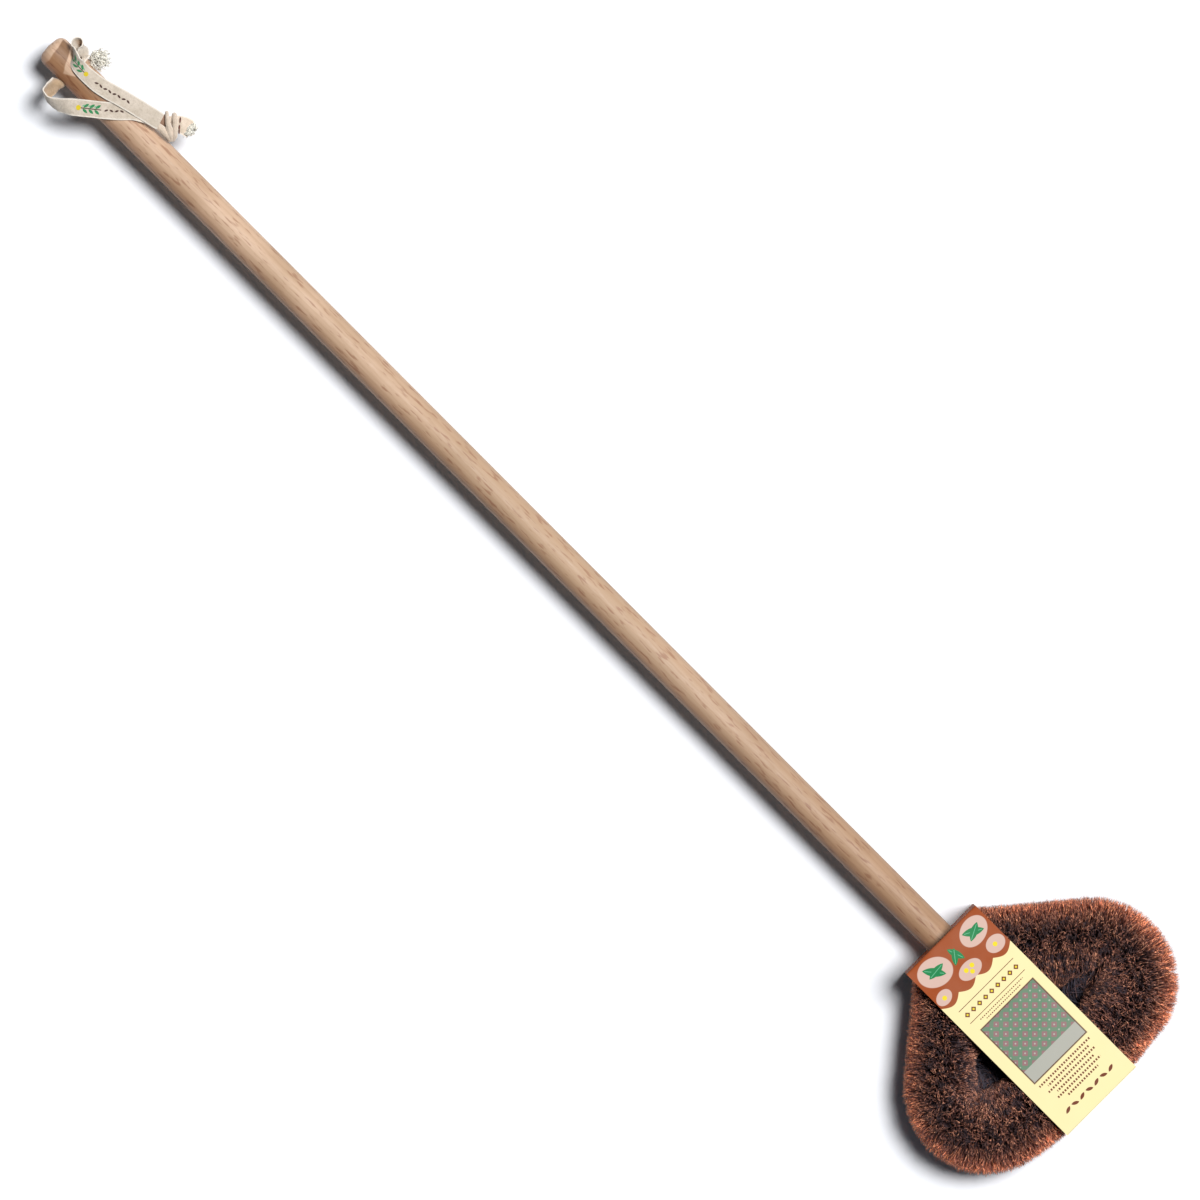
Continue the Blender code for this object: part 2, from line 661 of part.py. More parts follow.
def make_thread(pivot, into):
    """The brown thread tied once round the tail of the knot."""
    off = [abs(row[0] - THREAD_PLACE_SHARE) for row in KNOT_RING_SHARES]
    middle, across, wide, deep = knot_frames()[off.index(min(off))]
    outside = THREAD_DIAMETER / 2 + PIECE_GAP
    curve = bpy.data.curves.new("tail_thread", "CURVE")
    curve.dimensions = "3D"
    curve.bevel_depth = THREAD_DIAMETER / 2
    curve.bevel_resolution = 1
    spline = curve.splines.new("POLY")
    up = Vector((0, 0, 1))
    ring = rounded_ring(
        middle, across, up, wide + outside, deep + outside, THREAD_SIDES, 1
    )
    spline.points.add(len(ring) - 1)
    spline.use_cyclic_u = True
    for point, place in zip(spline.points, ring):
        point.co = (*place, 1)
    brown = finish("brown_thread", (0.12, 0.035, 0.02), 0.8)
    piece("tail_thread", curve, pivot, into, brown)


def make_frayed_end(pivot, into, material):
    """The tuft of loose cotton threads beside the handle, close by the hole."""
    heading = Vector((math.cos(FRAYED_HEADING), math.sin(FRAYED_HEADING), 0))
    across = Vector((-math.sin(FRAYED_HEADING), math.cos(FRAYED_HEADING), 0))
    start = Vector(FRAYED_START_SHARES) * HANDLE_RADIUS
    rings = []
    for share, wide, tall in FRAYED_RING_SHARES:
        middle = start + heading * (share * FRAYED_LENGTH)
        half_width = wide * TAPE_WIDTH / 2
        half_height = tall * TAPE_WIDTH / 2
        up = Vector((0, 0, 1))
        rings.append(
            rounded_ring(middle, across, up, half_width, half_height, KNOT_SIDES, 1)
        )
    piece("frayed_end", lofted("frayed_end", rings), pivot, into, material)


def main():
    clear_scene()
    brush = collection("bin_brush")
    cutters = collection("cutters")
    head = empty("brush_head", HEAD_PLACE, brush)
    pivot = empty("hang_loop_pivot", HOLE_PLACE, brush)
    make_handle(brush, cutters)
    make_head(head, brush)
    make_sleeve(head, brush, cutters)
    cotton = finish("cotton_tape", (0.74, 0.68, 0.56), 0.9)
    make_tape(pivot, brush, cotton)
    make_knot(pivot, brush, cotton)
    make_thread(pivot, brush)
    make_frayed_end(pivot, brush, cotton)


main()
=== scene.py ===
# Looks of the long-handled bin brush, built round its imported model
import json
import math

import bpy
import numpy as np
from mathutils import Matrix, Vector


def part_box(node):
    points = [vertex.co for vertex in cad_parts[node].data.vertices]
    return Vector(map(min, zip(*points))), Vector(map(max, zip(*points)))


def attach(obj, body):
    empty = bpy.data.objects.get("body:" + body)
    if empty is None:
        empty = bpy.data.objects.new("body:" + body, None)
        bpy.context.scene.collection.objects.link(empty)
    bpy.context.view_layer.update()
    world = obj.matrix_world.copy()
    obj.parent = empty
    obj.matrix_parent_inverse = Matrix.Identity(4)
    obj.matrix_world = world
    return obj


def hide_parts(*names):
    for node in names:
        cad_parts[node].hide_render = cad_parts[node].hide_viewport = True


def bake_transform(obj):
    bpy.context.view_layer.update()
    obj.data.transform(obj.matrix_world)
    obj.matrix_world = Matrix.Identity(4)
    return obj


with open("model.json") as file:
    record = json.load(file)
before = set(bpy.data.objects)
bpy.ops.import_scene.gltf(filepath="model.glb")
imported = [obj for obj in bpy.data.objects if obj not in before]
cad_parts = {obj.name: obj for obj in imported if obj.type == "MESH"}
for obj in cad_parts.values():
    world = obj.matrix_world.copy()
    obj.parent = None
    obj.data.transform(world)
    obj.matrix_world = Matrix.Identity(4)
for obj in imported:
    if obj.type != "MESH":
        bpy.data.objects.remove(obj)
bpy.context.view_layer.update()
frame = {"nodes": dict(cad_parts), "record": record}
mm = 0.001

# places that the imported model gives
handleLow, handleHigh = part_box("handle")
cardLow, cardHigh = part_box("card_sleeve")
hole = Vector(frame["record"]["behaviour"]["joints"][0]["pos_m"])
headX = handleHigh[0]
axisZ = hole.z


# working on one object at a time, as by hand
def selectNone():
    bpy.ops.object.select_all(action="DESELECT")


def pick(obj):
    selectNone()
    obj.select_set(True)
    bpy.context.view_layer.objects.active = obj


def joinAll(parts, keeper, name):
    pick(keeper)
    for part in parts:
        part.select_set(True)
    bpy.ops.object.join()
    keeper.name = name
    return keeper


def applyPlace(obj):
    pick(obj)
    bpy.ops.object.transform_apply(location=True, rotation=True, scale=True)


def finishWith(obj, kind, **settings):
    pick(obj)
    modifier = obj.modifiers.new(kind.lower(), kind)
    for key, value in settings.items():
        setattr(modifier, key, value)
    bpy.ops.object.modifier_apply(modifier=modifier.name)


def smoothByAngle(obj, degrees=35):
    pick(obj)
    bpy.ops.object.shade_smooth_by_angle(angle=math.radians(degrees))


def coordsOf(obj):
    found = np.empty(len(obj.data.vertices) * 3)
    obj.data.vertices.foreach_get("co", found)
    return found.reshape(-1, 3)


def setCoords(obj, places):
    obj.data.vertices.foreach_set("co", np.asarray(places, float).ravel())
    obj.data.update()


def unit(vectors, least=0.0):
    return vectors / (np.linalg.norm(vectors, axis=-1, keepdims=True) + least)


# shader helpers
def linear(hexColour):
    parts = [int(hexColour[i : i + 2], 16) / 255 for i in (0, 2, 4)]
    return [c / 12.92 if c <= 0.04045 else ((c + 0.055) / 1.055) ** 2.4 for c in parts]


def newMaterial(name, **settings):
    material = bpy.data.materials.new(name)
    material.use_nodes = True
    shader = material.node_tree.nodes["Principled BSDF"]
    for key, value in settings.items():
        shader.inputs[key].default_value = value
    return material, material.node_tree, shader


def addNode(tree, kind, inputs=(), **settings):
    made = tree.nodes.new(kind)
    for key, value in settings.items():
        setattr(made, key, value)
    for key, value in dict(inputs).items():
        if isinstance(value, bpy.types.NodeSocket):
            tree.links.new(value, made.inputs[key])
        else:
            made.inputs[key].default_value = value
    return made


def calc(tree, operation, a, b=0.0):
    return addNode(tree, "ShaderNodeMath", {0: a, 1: b}, operation=operation).outputs[0]


def times(tree, made, *others):
    for other in others:
        made = calc(tree, "MULTIPLY", made, other)
    return made


def plus(tree, made, *others):
    for other in others:
        made = calc(tree, "ADD", made, other)
    return made


def splitOf(tree, vector):
    return addNode(tree, "ShaderNodeSeparateXYZ", {0: vector}).outputs


def objectPlace(tree):
    return addNode(tree, "ShaderNodeTexCoord").outputs["Object"]


def uvPlace(tree, name):
    return addNode(tree, "ShaderNodeUVMap", uv_map=name).outputs[0]


def mapped(tree, place, scale, location=(0, 0, 0), turn=0, kind="POINT"):
    inputs = {"Vector": place, "Location": location, "Scale": scale}
    inputs["Rotation"] = (0, 0, math.radians(turn))
    return addNode(tree, "ShaderNodeMapping", inputs, vector_type=kind).outputs[0]


def noiseAt(tree, place, scale, detail):
    inputs = {"Vector": place, "Scale": scale, "Detail": detail}
    return addNode(tree, "ShaderNodeTexNoise", inputs).outputs[0]


def blendColour(tree, factor, a, b, how="MIX"):
    a, b = [(*colour, 1) if isinstance(colour, (list, tuple)) else colour for colour in (a, b)]
    inputs = {0: factor, 6: a, 7: b}
    return addNode(tree, "ShaderNodeMix", inputs, data_type="RGBA", blend_type=how).outputs[2]


def tinted(tree, colour, tint):
    return blendColour(tree, 1.0, colour, tint, "MULTIPLY")


def colourRamp(tree, value, stops):
    made = addNode(tree, "ShaderNodeValToRGB", {0: value})
    band = made.color_ramp
    while len(band.elements) < len(stops):
        band.elements.new(0.5)
    for element, (place, colour) in zip(band.elements, stops):
        element.position = place
        element.color = (*(linear(colour) if isinstance(colour, str) else colour), 1)
    return made.outputs[0]


def spread(tree, value, low, high, toLow=0.0, toHigh=1.0):
    made = addNode(
        tree,
        "ShaderNodeMapRange",
        {0: value, 1: low, 2: high, 3: toLow, 4: toHigh},
        interpolation_type="SMOOTHSTEP",
    )
    return made.outputs[0]


def newGroup(name, numbers, results):
    # takes a vector and numbers with these defaults, gives numbers
    group = bpy.data.node_groups.new(name, "ShaderNodeTree")
    face = group.interface
    face.new_socket("Vector", in_out="INPUT", socket_type="NodeSocketVector")
    for label, value in numbers.items():
        socket = face.new_socket(label, in_out="INPUT", socket_type="NodeSocketFloat")
        socket.default_value = value
    for label in results:
        face.new_socket(label, in_out="OUTPUT", socket_type="NodeSocketFloat")
    start = group.nodes.new("NodeGroupInput")
    end = group.nodes.new("NodeGroupOutput")
    return group, start.outputs, end.inputs


def useGroup(tree, group, inputs):
    return addNode(tree, "ShaderNodeGroup", inputs, node_tree=group).outputs


def makeMottle():
    # soft patches and fine grain, both about 0 to 1, stretched as the vector is scaled
    scales = {"Patch Scale": 20.0, "Grain Scale": 800.0}
    group, given, out = newGroup("mottle", scales, ("Patch", "Grain"))
    for tone, detail in (("Patch", 3.0), ("Grain", 2.0)):
        noise = noiseAt(group, given["Vector"], given[f"{tone} Scale"], detail)
        group.links.new(spread(group, noise, 0.3, 0.7), out[tone])
    return group


def tonesAt(tree, place, patch, grain):
    inputs = {"Vector": place, "Patch Scale": patch, "Grain Scale": grain}
    return useGroup(tree, mottle, inputs)


def finishLook(tree, shader, colour, look, grain, height=None):
    # rough: how far the grain changes the roughness, and its least; relief: strength, depth
    tree.links.new(colour, shader.inputs["Base Color"])
    if "rough" in look:
        span, least = look["rough"]
        rough = plus(tree, times(tree, grain, span), least)
        tree.links.new(rough, shader.inputs["Roughness"])
    if "relief" in look:
        strength, depth = look["relief"]
        inputs = {"Height": height, "Strength": strength, "Distance": depth}
        bump = addNode(tree, "ShaderNodeBump", inputs)
        tree.links.new(bump.outputs[0], shader.inputs["Normal"])


def twoTone(name, look, **settings):
    # mottled between its dark and its pale colour
    material, tree, shader = newMaterial(name, **settings)
    tones = tonesAt(tree, objectPlace(tree), *look["scales"])
    colour = blendColour(tree, tones["Patch"], linear(look["dark"]), linear(look["pale"]))
    finishLook(tree, shader, colour, look, tones["Grain"], tones["Grain"])
    return material


mottle = makeMottle()
print("scene: frame loaded, helpers ready")


# camera, light and floor
view = dict(
    middle=(0.0263, -0.0009),
    frameWidth=0.846,
    lens=400,
    roll=45.07,
    sunFrom=(0.2, 0.77, 2.0),
    sunStrength=4.35,
    sunWidth=21,
    skyColour=(0.5, 0.78, 1, 1),
    sky=0.06,
    floorSize=14,
    floorColour=(0.79, 0.8, 0.83, 1),
    # just under the brush, so that the two never share a plane
    floorZ=-0.0004,
    sensor=36,
)


def makeView():
    away = view["frameWidth"] * view["lens"] / view["sensor"]
    bpy.ops.object.camera_add(
        location=(*view["middle"], away + axisZ),
        rotation=(0, 0, math.radians(view["roll"])),
    )
    camera = bpy.context.object
    camera.data.lens = view["lens"]
    camera.data.sensor_width = view["sensor"]
    camera.data.clip_end = 50
    bpy.context.scene.camera = camera
    bpy.ops.object.light_add(type="SUN", location=(0.3, 0.8, 1.5))
    sun = bpy.context.object
    sun.rotation_euler = Vector(view["sunFrom"]).to_track_quat("Z", "Y").to_euler()
    sun.data.energy = view["sunStrength"]
    sun.data.angle = math.radians(view["sunWidth"])
    world = bpy.data.worlds.new("studio")
    world.use_nodes = True
    background = world.node_tree.nodes["Background"]
    background.inputs["Color"].default_value = view["skyColour"]
    background.inputs["Strength"].default_value = view["sky"]
    bpy.context.scene.world = world
    bpy.context.scene.view_settings.view_transform = "Standard"
    bpy.ops.mesh.primitive_plane_add(size=view["floorSize"], location=(0, 0, view["floorZ"]))
    floor = bpy.context.object
    floor.name = "floor"
    paper, _, shader = newMaterial("pale_floor", Roughness=0.9)
    shader.inputs["Base Color"].default_value = view["floorColour"]
    floor.data.materials.append(paper)


makeView()
print("scene: camera, light and floor")


# wooden handle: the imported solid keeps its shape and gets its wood
wood = dict(
    pale="DDBB9C",
    mid="C6A382",
    deep="AB8765",
    grey="B19A80",
    fleck="8A4F30",
    fleckScale=520.0,
    # linear tints by metres along the row frame, and painted shade on the side away from the light
    tintsFrom=-0.53,
    tintsOver=0.92,
    tints=(
        (-0.51, (0.81, 0.80, 0.82)),
        (-0.30, (0.81, 0.80, 0.81)),
        (-0.15, (0.82, 0.77, 0.74)),
        (0.00, (0.86, 0.81, 0.78)),
        (0.15, (0.84, 0.78, 0.76)),
        (0.28, (0.66, 0.58, 0.52)),
        (0.37, (0.60, 0.52, 0.46)),
    ),
    sideShadeTint=(0.86, 0.74, 0.66),
    # linear tints of the painted shadow of the tape: darker high on the rod, lighter low on its
    # side
    castShadowTints=((0.38, 0.30, 0.22), (0.76, 0.60, 0.45)),
    # the painted shadow of the tape loop and strap, in metres from the hole: where it starts and
    # how that edge bows, the edges of the lit corner beside the tape with their slants, its rim
    # across, its end, and its fade over the height
    castShadow=dict(
        wobble=0.0009,
        start=(-0.0166, -0.0154),
        bowAt=0.007,
        bow=0.22,
        right=(-0.0070, -0.0058),
        rightSlant=0.576,
        foot=(-0.0058, -0.0046),
        footSlant=0.573,
        footTo=0.006,
        cornerEnd=(0.016, 0.012),
        rim=(0.0110, 0.0098),
        end=(0.040, 0.033),
        fade=0.004,
    ),
    ringPith=(0, 0.05, -0.035),
    ringStep=0.0032,
    ringDrift=2.2,
    rough=(0.14, 0.52),
    relief=(0.35, 0.0002),
)


def woodCastShadow(tree, split, patch):
    # painted shadow of the tape loop and strap: dark from the tip's round onwards, but for a lit
    # corner beside the tape
    castShadow = wood["castShadow"]
    y = split[1]
    x = calc(tree, "SUBTRACT", split[0], hole.x)
    x = plus(tree, x, times(tree, patch, castShadow["wobble"]))
    bow = times(tree, calc(tree, "ABSOLUTE", plus(tree, y, castShadow["bowAt"])), castShadow["bow"])
    start = spread(tree, plus(tree, x, bow), *castShadow["start"])
    slant = plus(tree, x, times(tree, y, castShadow["rightSlant"]))
    right = spread(tree, slant, *castShadow["right"])
    foot = times(tree, calc(tree, "MINIMUM", x, castShadow["footTo"]), castShadow["footSlant"])
    above = spread(tree, calc(tree, "SUBTRACT", y, foot), *castShadow["foot"])
    clean = times(tree, right, above, spread(tree, x, *castShadow["cornerEnd"]))
    rim = spread(tree, y, *castShadow["rim"])
    end = spread(tree, x, *castShadow["end"])
    upper = spread(tree, split[2], axisZ - castShadow["fade"], axisZ + castShadow["fade"])
    return times(tree, start, end, rim, upper, calc(tree, "SUBTRACT", 1.0, clean))


def makeWood():
    material, tree, shader = newMaterial("beech_wood", Roughness=0.62)
    place = objectPlace(tree)
    split = splitOf(tree, place)
    along = mapped(tree, place, (0.09, 1.0, 1.0))
    drift = noiseAt(tree, along, 60.0, 3.0)
    # yearly rings: distance from a pith beside the rod, drifting along it
    pith = mapped(tree, place, (0.022, 1.0, 1.0), wood["ringPith"])
    reach = addNode(tree, "ShaderNodeVectorMath", {0: pith}, operation="LENGTH")
    rings = calc(tree, "DIVIDE", reach.outputs["Value"], wood["ringStep"])
    rings = plus(tree, rings, times(tree, drift, wood["ringDrift"]))
    tones = tonesAt(tree, along, 95.0, 1500.0)
    # short dark flecks along the grain
    dash = noiseAt(tree, mapped(tree, place, (0.17, 1.0, 1.0)), wood["fleckScale"], 1.5)
    flecks = spread(tree, dash, 0.56, 0.69)
    patch = noiseAt(tree, mapped(tree, place, (1.0, 0.35, 0.35)), 14.0, 4.0)
    # the middle of the rod is greyer from handling, its tip the palest
    worn = spread(tree, split[0], -0.42, -0.02)
    clean = spread(tree, split[0], 0.36, 0.12)
    worn = times(tree, worn, plus(tree, times(tree, clean, 0.6), 0.4))
    base = linear(wood["mid"])
    for mask, share, ink in (
        (spread(tree, patch, 0.32, 0.68), 1.0, "pale"),
        (worn, 0.72, "grey"),
        (spread(tree, calc(tree, "FRACT", rings), 0.35, 1.0), 0.3, "deep"),
        (tones["Patch"], 0.22, "pale"),
        (flecks, 0.5, "fleck"),
    ):
        base = blendColour(tree, times(tree, mask, share), base, linear(wood[ink]))
    # tones along the rod, painted shade on its side away from the light, and the painted shadow of
    # the tape round the hole
    begin, span = wood["tintsFrom"], wood["tintsOver"]
    along = calc(tree, "DIVIDE", plus(tree, split[0], -begin), span)
    stops = [((x - begin) / span, colour) for x, colour in wood["tints"]]
    base = tinted(tree, base, colourRamp(tree, along, stops))
    # painted shade on the side away from the light
    side = spread(tree, split[1], -0.003, -0.0095)
    base = blendColour(tree, side, base, tinted(tree, base, wood["sideShadeTint"]))
    castShadow = woodCastShadow(tree, split, tones["Patch"])
    low = spread(tree, split[1], 0.007, -0.0125)
    shadowed = tinted(tree, base, blendColour(tree, low, *wood["castShadowTints"]))
    base = blendColour(tree, castShadow, base, shadowed)
    height = plus(tree, times(tree, flecks, -0.6), times(tree, tones["Grain"], 0.4))
    finishLook(tree, shader, base, wood, tones["Grain"], height)
    return material


def dressNode(name, material):
    obj = frame["nodes"][name]
    obj.data.materials.clear()
    obj.data.materials.append(material)


dressNode("handle", makeWood())
print("scene: wooden handle")


# twisted core wires: galvanised, dull
zinc = dict(
    dark="8E8F8C",
    pale="B9BAB6",
    scales=(260.0, 2600.0),
    rough=(0.25, 0.35),
)
zincMaterial = twoTone("galvanised_wire", zinc, Metallic=0.9, Roughness=0.45)
for wire in ("core_wire_a", "core_wire_b"):
    dressNode(wire, zincMaterial)
print("scene: core wires")


# coir: fibres on the line of the twisted core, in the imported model's sizes
core = dict(
    stem=40.0,
    stemOffset=3.0,
    standoff=0.8,
    neckRadius=10.0,
    splay=48,
    side=90.5,
    cornerRadius=33.0,
    farRadius=282.0,
)
coir = dict(
    tuftsPerMm=56,
    fibresInTuft=2,
    reach=25.9,
    thick=0.28,
    goldenTurn=0.61803399,
    scatter=0.12,
    # leans along the core, the widest of them, and leans round it
    lean=0.15,
    leanLimit=0.3,
    turn=0.06,
    bend=0.09,
    rootSpread=1.2,
    tipSpread=0.8,
    # tips close up in bunches of this size, in mm, by this share of the way
    bunch=3.6,
    pull=0.5,
    deepReach=16.0,
    # trimmed steep at the rim: reach by the fibre's slope in degrees
    slopes=(0, 15, 26, 36, 55, 90),
    trim=(1.0, 1.035, 1.1, 1.1, 1.0, 1.0),
    speckScale=620.0,
    unevenTuft=0.025,
    unevenFibre=0.008,
    # extra reach of the fibres inside the loop, in mm
    innerUpper=(11.0, 14.0),
    innerLower=(7.0, 14.0),
    # and outside it, by the share of the way from the handle to the far side's middle
    outerStations=(0, 0.15, 0.3, 0.38, 0.46, 0.55, 0.62, 0.7, 0.78, 1),
    outerUpper=(0, 0.5, 2.1, 2.8, 4.2, 4.9, 5.1, 3.7, 0.9, 0.5),
    outerLower=(-3.1, -3.1, -1.4, -0.8, -0.4, 1.0, 2.4, 2.2, 1.6, 0.6),
    # the gaps beside the card: rows of y to the side, lowest x and highest x, in mm from the
    # head's plane; a fibre in one is cut back by a share, over and over, at most this often
    gapUpper=(
        (36, 82.0, 97.0),
        (45, 82.0, 93.0),
        (55, 85.6, 94.0),
        (64, 87.5, 91.5),
        (71, 89.0, 89.0),
    ),
    gapLower=(
        (32, 73.6, 97.0),
        (40, 73.6, 95.0),
        (45, 77.6, 93.5),
        (50, 86.0, 93.0),
        (59, 91.5, 91.5),
    ),
    gapKeep=0.955,
    gapCuts=16,
    # mm kept inside the card's faces and ends, unevenly, and mm beside it that it still presses
    underFace=0.95,
    insideEnd=1.1,
    uneven=0.5,
    besideCard=0.6,
    # outermost mm of the tips: lowest, highest, and to the sides
    lowest=-26.6,
    highest=26.9,
    widest=115.4,
    # mm round the handle, and past the head's plane, that hold no tips
    roundHandle=0.5,
    pastHandle=0.6,
    # colours from root to tip, each fibre's own, and the linear tints of the specks
    along=((0.0, "2A252C"), (0.4, "40373C"), (0.7, "785A50"), (0.9, "B48A74"), (1.0, "CCA48C")),
    own=((0.0, "4C4654"), (0.3, "84747C"), (0.6, "CCB0A6"), (0.85, "FFE6D2"), (1.0, "FFF6E8")),
    specks=(
        (0.0, (0.30, 0.26, 0.34)),
        (0.4, (0.58, 0.52, 0.57)),
        (0.62, (1.28, 1.22, 1.24)),
        (1.0, (2.4, 2.45, 2.55)),
    ),
    rimHighlightTint=(2.35, 1.96, 1.62),
    patchShadeTone="2A2833",
    hollowTones=("3C3843", "322F3B"),
    rough=(0.2, 0.5),
)


def coreRuns():
    # lengths and curvatures in mm along the core, from one stem's end to the other's
    splay = math.radians(core["splay"])
    stem = (core["stem"] + core["standoff"], 0.0)
    neck = (core["neckRadius"] * splay, 1 / core["neckRadius"])
    side = (core["side"], 0.0)
    x, y, _ = walkCore([stem, neck, side], np.array([stem[0] + neck[0] + side[0]]))
    cornerY = y[0] - core["cornerRadius"] * math.cos(splay)
    halfFar = math.asin(cornerY / (core["farRadius"] - core["cornerRadius"]))
    corner = (core["cornerRadius"] * (splay + math.pi / 2 - halfFar), -1 / core["cornerRadius"])
    far = (2 * core["farRadius"] * halfFar, -1 / core["farRadius"])
    half = [stem, neck, side, corner]
    return half + [far] + half[::-1]


def walkCore(runs, distances):
    x = np.full(len(distances), -core["stem"])
    y = np.full(len(distances), core["stemOffset"])
    heading = np.zeros(len(distances))
    left = distances.copy()
    for length, curvature in runs:
        step = np.clip(left, 0, length)
        turned = heading + curvature * step
        if curvature:
            x += (np.sin(turned) - np.sin(heading)) / curvature
            y -= (np.cos(turned) - np.cos(heading)) / curvature
        else:
            x += step * np.cos(heading)
            y += step * np.sin(heading)
        heading = turned
        left = left - step
    return x, y, heading


def cutStick(heights):
    # the fresh spike or stick is cut across, then gives its points, their heights and faces
    stick = bpy.context.object
    applyPlace(stick)
    bpy.ops.object.mode_set(mode="EDIT")
    for height in heights:
        bpy.ops.mesh.select_all(action="SELECT")
        bpy.ops.mesh.bisect(plane_co=(0, 0, height), plane_no=(0, 0, 1))
    bpy.ops.mesh.select_all(action="SELECT")
    bpy.ops.mesh.quads_convert_to_tris()
    bpy.ops.object.mode_set(mode="OBJECT")
    places = coordsOf(stick)
    faces = np.array([list(face.vertices) for face in stick.data.polygons])
    bpy.data.objects.remove(stick)
    return places[:, :2], places[:, 2], faces


def makeSpike():
    # one fibre as by hand: a thin three-sided spike cut across twice, one unit long
    selectNone()
    bpy.ops.mesh.primitive_cone_add(vertices=3, radius1=1, radius2=0, depth=1, location=(0, 0, 0.5))
    around, level, faces = cutStick((0.5, 0.88))
    # its sides hold their thickness for most of the way, then draw to the point
    around = around / np.maximum(1 - level, 0.02)[:, None]
    keep = np.interp(level, [0, 0.5, 0.88, 0.999, 1.0], [0.9, 1.0, 0.9, 0.1, 0.0])
    return around * keep[:, None], level, faces


def sheafMesh(name, places, faces, level, keys):
    # one mesh of many copies of a small shape: places is copy by point, in mm
    count = len(places)
    points = places.reshape(-1, 3) * mm
    corners = (faces[None] + np.arange(count)[:, None, None] * len(level)).reshape(-1, 3)
    mesh = bpy.data.meshes.new(name)
    mesh.vertices.add(len(points))
    mesh.vertices.foreach_set("co", points.ravel())
    mesh.loops.add(corners.size)
    mesh.loops.foreach_set("vertex_index", corners.ravel())
    mesh.polygons.add(len(corners))
    mesh.polygons.foreach_set("loop_start", np.arange(len(corners)) * 3)
    mesh.update(calc_edges=True)
    # u runs from root to tip, v tells one thread from the next
    uv = mesh.uv_layers.new(name="fibre")
    u = np.tile(level, count)[corners.ravel()]
    v = np.repeat(keys, len(level))[corners.ravel()]
    uv.data.foreach_set("uv", np.stack([u, v], 1).ravel())
    mesh.polygons.foreach_set("use_smooth", np.ones(len(corners), bool))
    obj = bpy.data.objects.new(name, mesh)
    bpy.context.collection.objects.link(obj)
    return obj


def luckOf(seed, scale=43758.5):
    # a fixed number from 0 to 1 for each seed, the same for all fibres of a bunch
    return np.modf(np.abs(np.sin(seed)) * scale)[0]


def innerReach(y, inward, isFar):
    upper = np.where(isFar, coir["innerUpper"][1], coir["innerUpper"][0])
    lower = np.where(isFar, coir["innerLower"][1], coir["innerLower"][0])
    return np.where(y > 0, upper, lower) * np.clip(inward, 0, 1)


def outerReach(s, y, outward, runs):
    begin = runs[0][0] + runs[1][0]
    whole = sum(length for length, _ in runs)
    share = (np.minimum(s, whole - s) - begin) / (whole / 2 - begin)
    upper = np.interp(share, coir["outerStations"], coir["outerUpper"])
    lower = np.interp(share, coir["outerStations"], coir["outerLower"])
    return np.where(y > 0, upper, lower) * np.clip(outward, 0, 1)

def trimAtGaps(root, tip):
    # fibres that would cross a gap are cut at its edge
    for side, rows in ((1, coir["gapUpper"]), (-1, coir["gapLower"])):
        away, low, high = np.array(rows).T
        for _ in range(coir["gapCuts"]):
            inside = np.zeros(len(tip), bool)
            for share in (1.0, 0.9, 0.8):
                spot = root + (tip - root) * share
                y = spot[:, 1] * side
                within = (y > 0) & (y < away[-1])
                within &= spot[:, 0] > np.interp(y, away, low)
                inside |= within & (spot[:, 0] < np.interp(y, away, high))
            shorter = root + (tip - root) * coir["gapKeep"]
            tip = np.where(inside[:, None], shorter, tip)
    return tip


def strewTufts(start, end, runs, dice, isFar):
    # evenly strewn along the core and round it
    count = round((end - start) * coir["tuftsPerMm"])
    order = np.arange(count)
    s = start + (end - start) * (order + dice.random(count)) / count
    angle = 2 * np.pi * (order * coir["goldenTurn"] % 1)
    angle = (angle + dice.normal(0, coir["scatter"], count)) % (2 * np.pi)
    x, y, heading = walkCore(runs, s)
    # the bunches inside the loop stand fuller than those outside it
    length = coir["reach"] + innerReach(y, -np.cos(angle), isFar)
    length += outerReach(s, y, np.cos(angle), runs)
    slope = np.degrees(np.arctan2(np.abs(np.sin(angle)), np.cos(angle)))
    length *= np.interp(slope, coir["slopes"], coir["trim"])
    # low inside the loop the fibres meet and close it, out of the light
    deep = np.clip(-np.cos(angle), 0, 1) * np.clip(0.4 - np.sin(angle) * 2.5, 0, 1)
    length += coir["deepReach"] * deep
    length *= 1 - coir["unevenTuft"] * dice.random(count) ** 2
    return s, angle, np.stack([x, y, 0 * x], 1), heading, length, deep


def bunchUp(s, angle):
    # neighbours lean together into bunches, whose tones differ: how far each goes along the
    # core and round it, and its bunch's tone
    row = np.floor(angle * coir["reach"] / coir["bunch"])
    shift = luckOf(row * 12.9898)
    cell = np.floor(s / coir["bunch"] + shift)
    luck = luckOf(row * 78.233 + cell * 37.719)
    drift = luckOf(row * 39.346 + cell * 11.135, 24634.6)
    toCell = (cell - shift + 0.2 + 0.6 * luck) * coir["bunch"] - s
    toRow = (row + 0.2 + 0.6 * drift) * coir["bunch"] / coir["reach"] - angle
    return toCell, toRow, luck


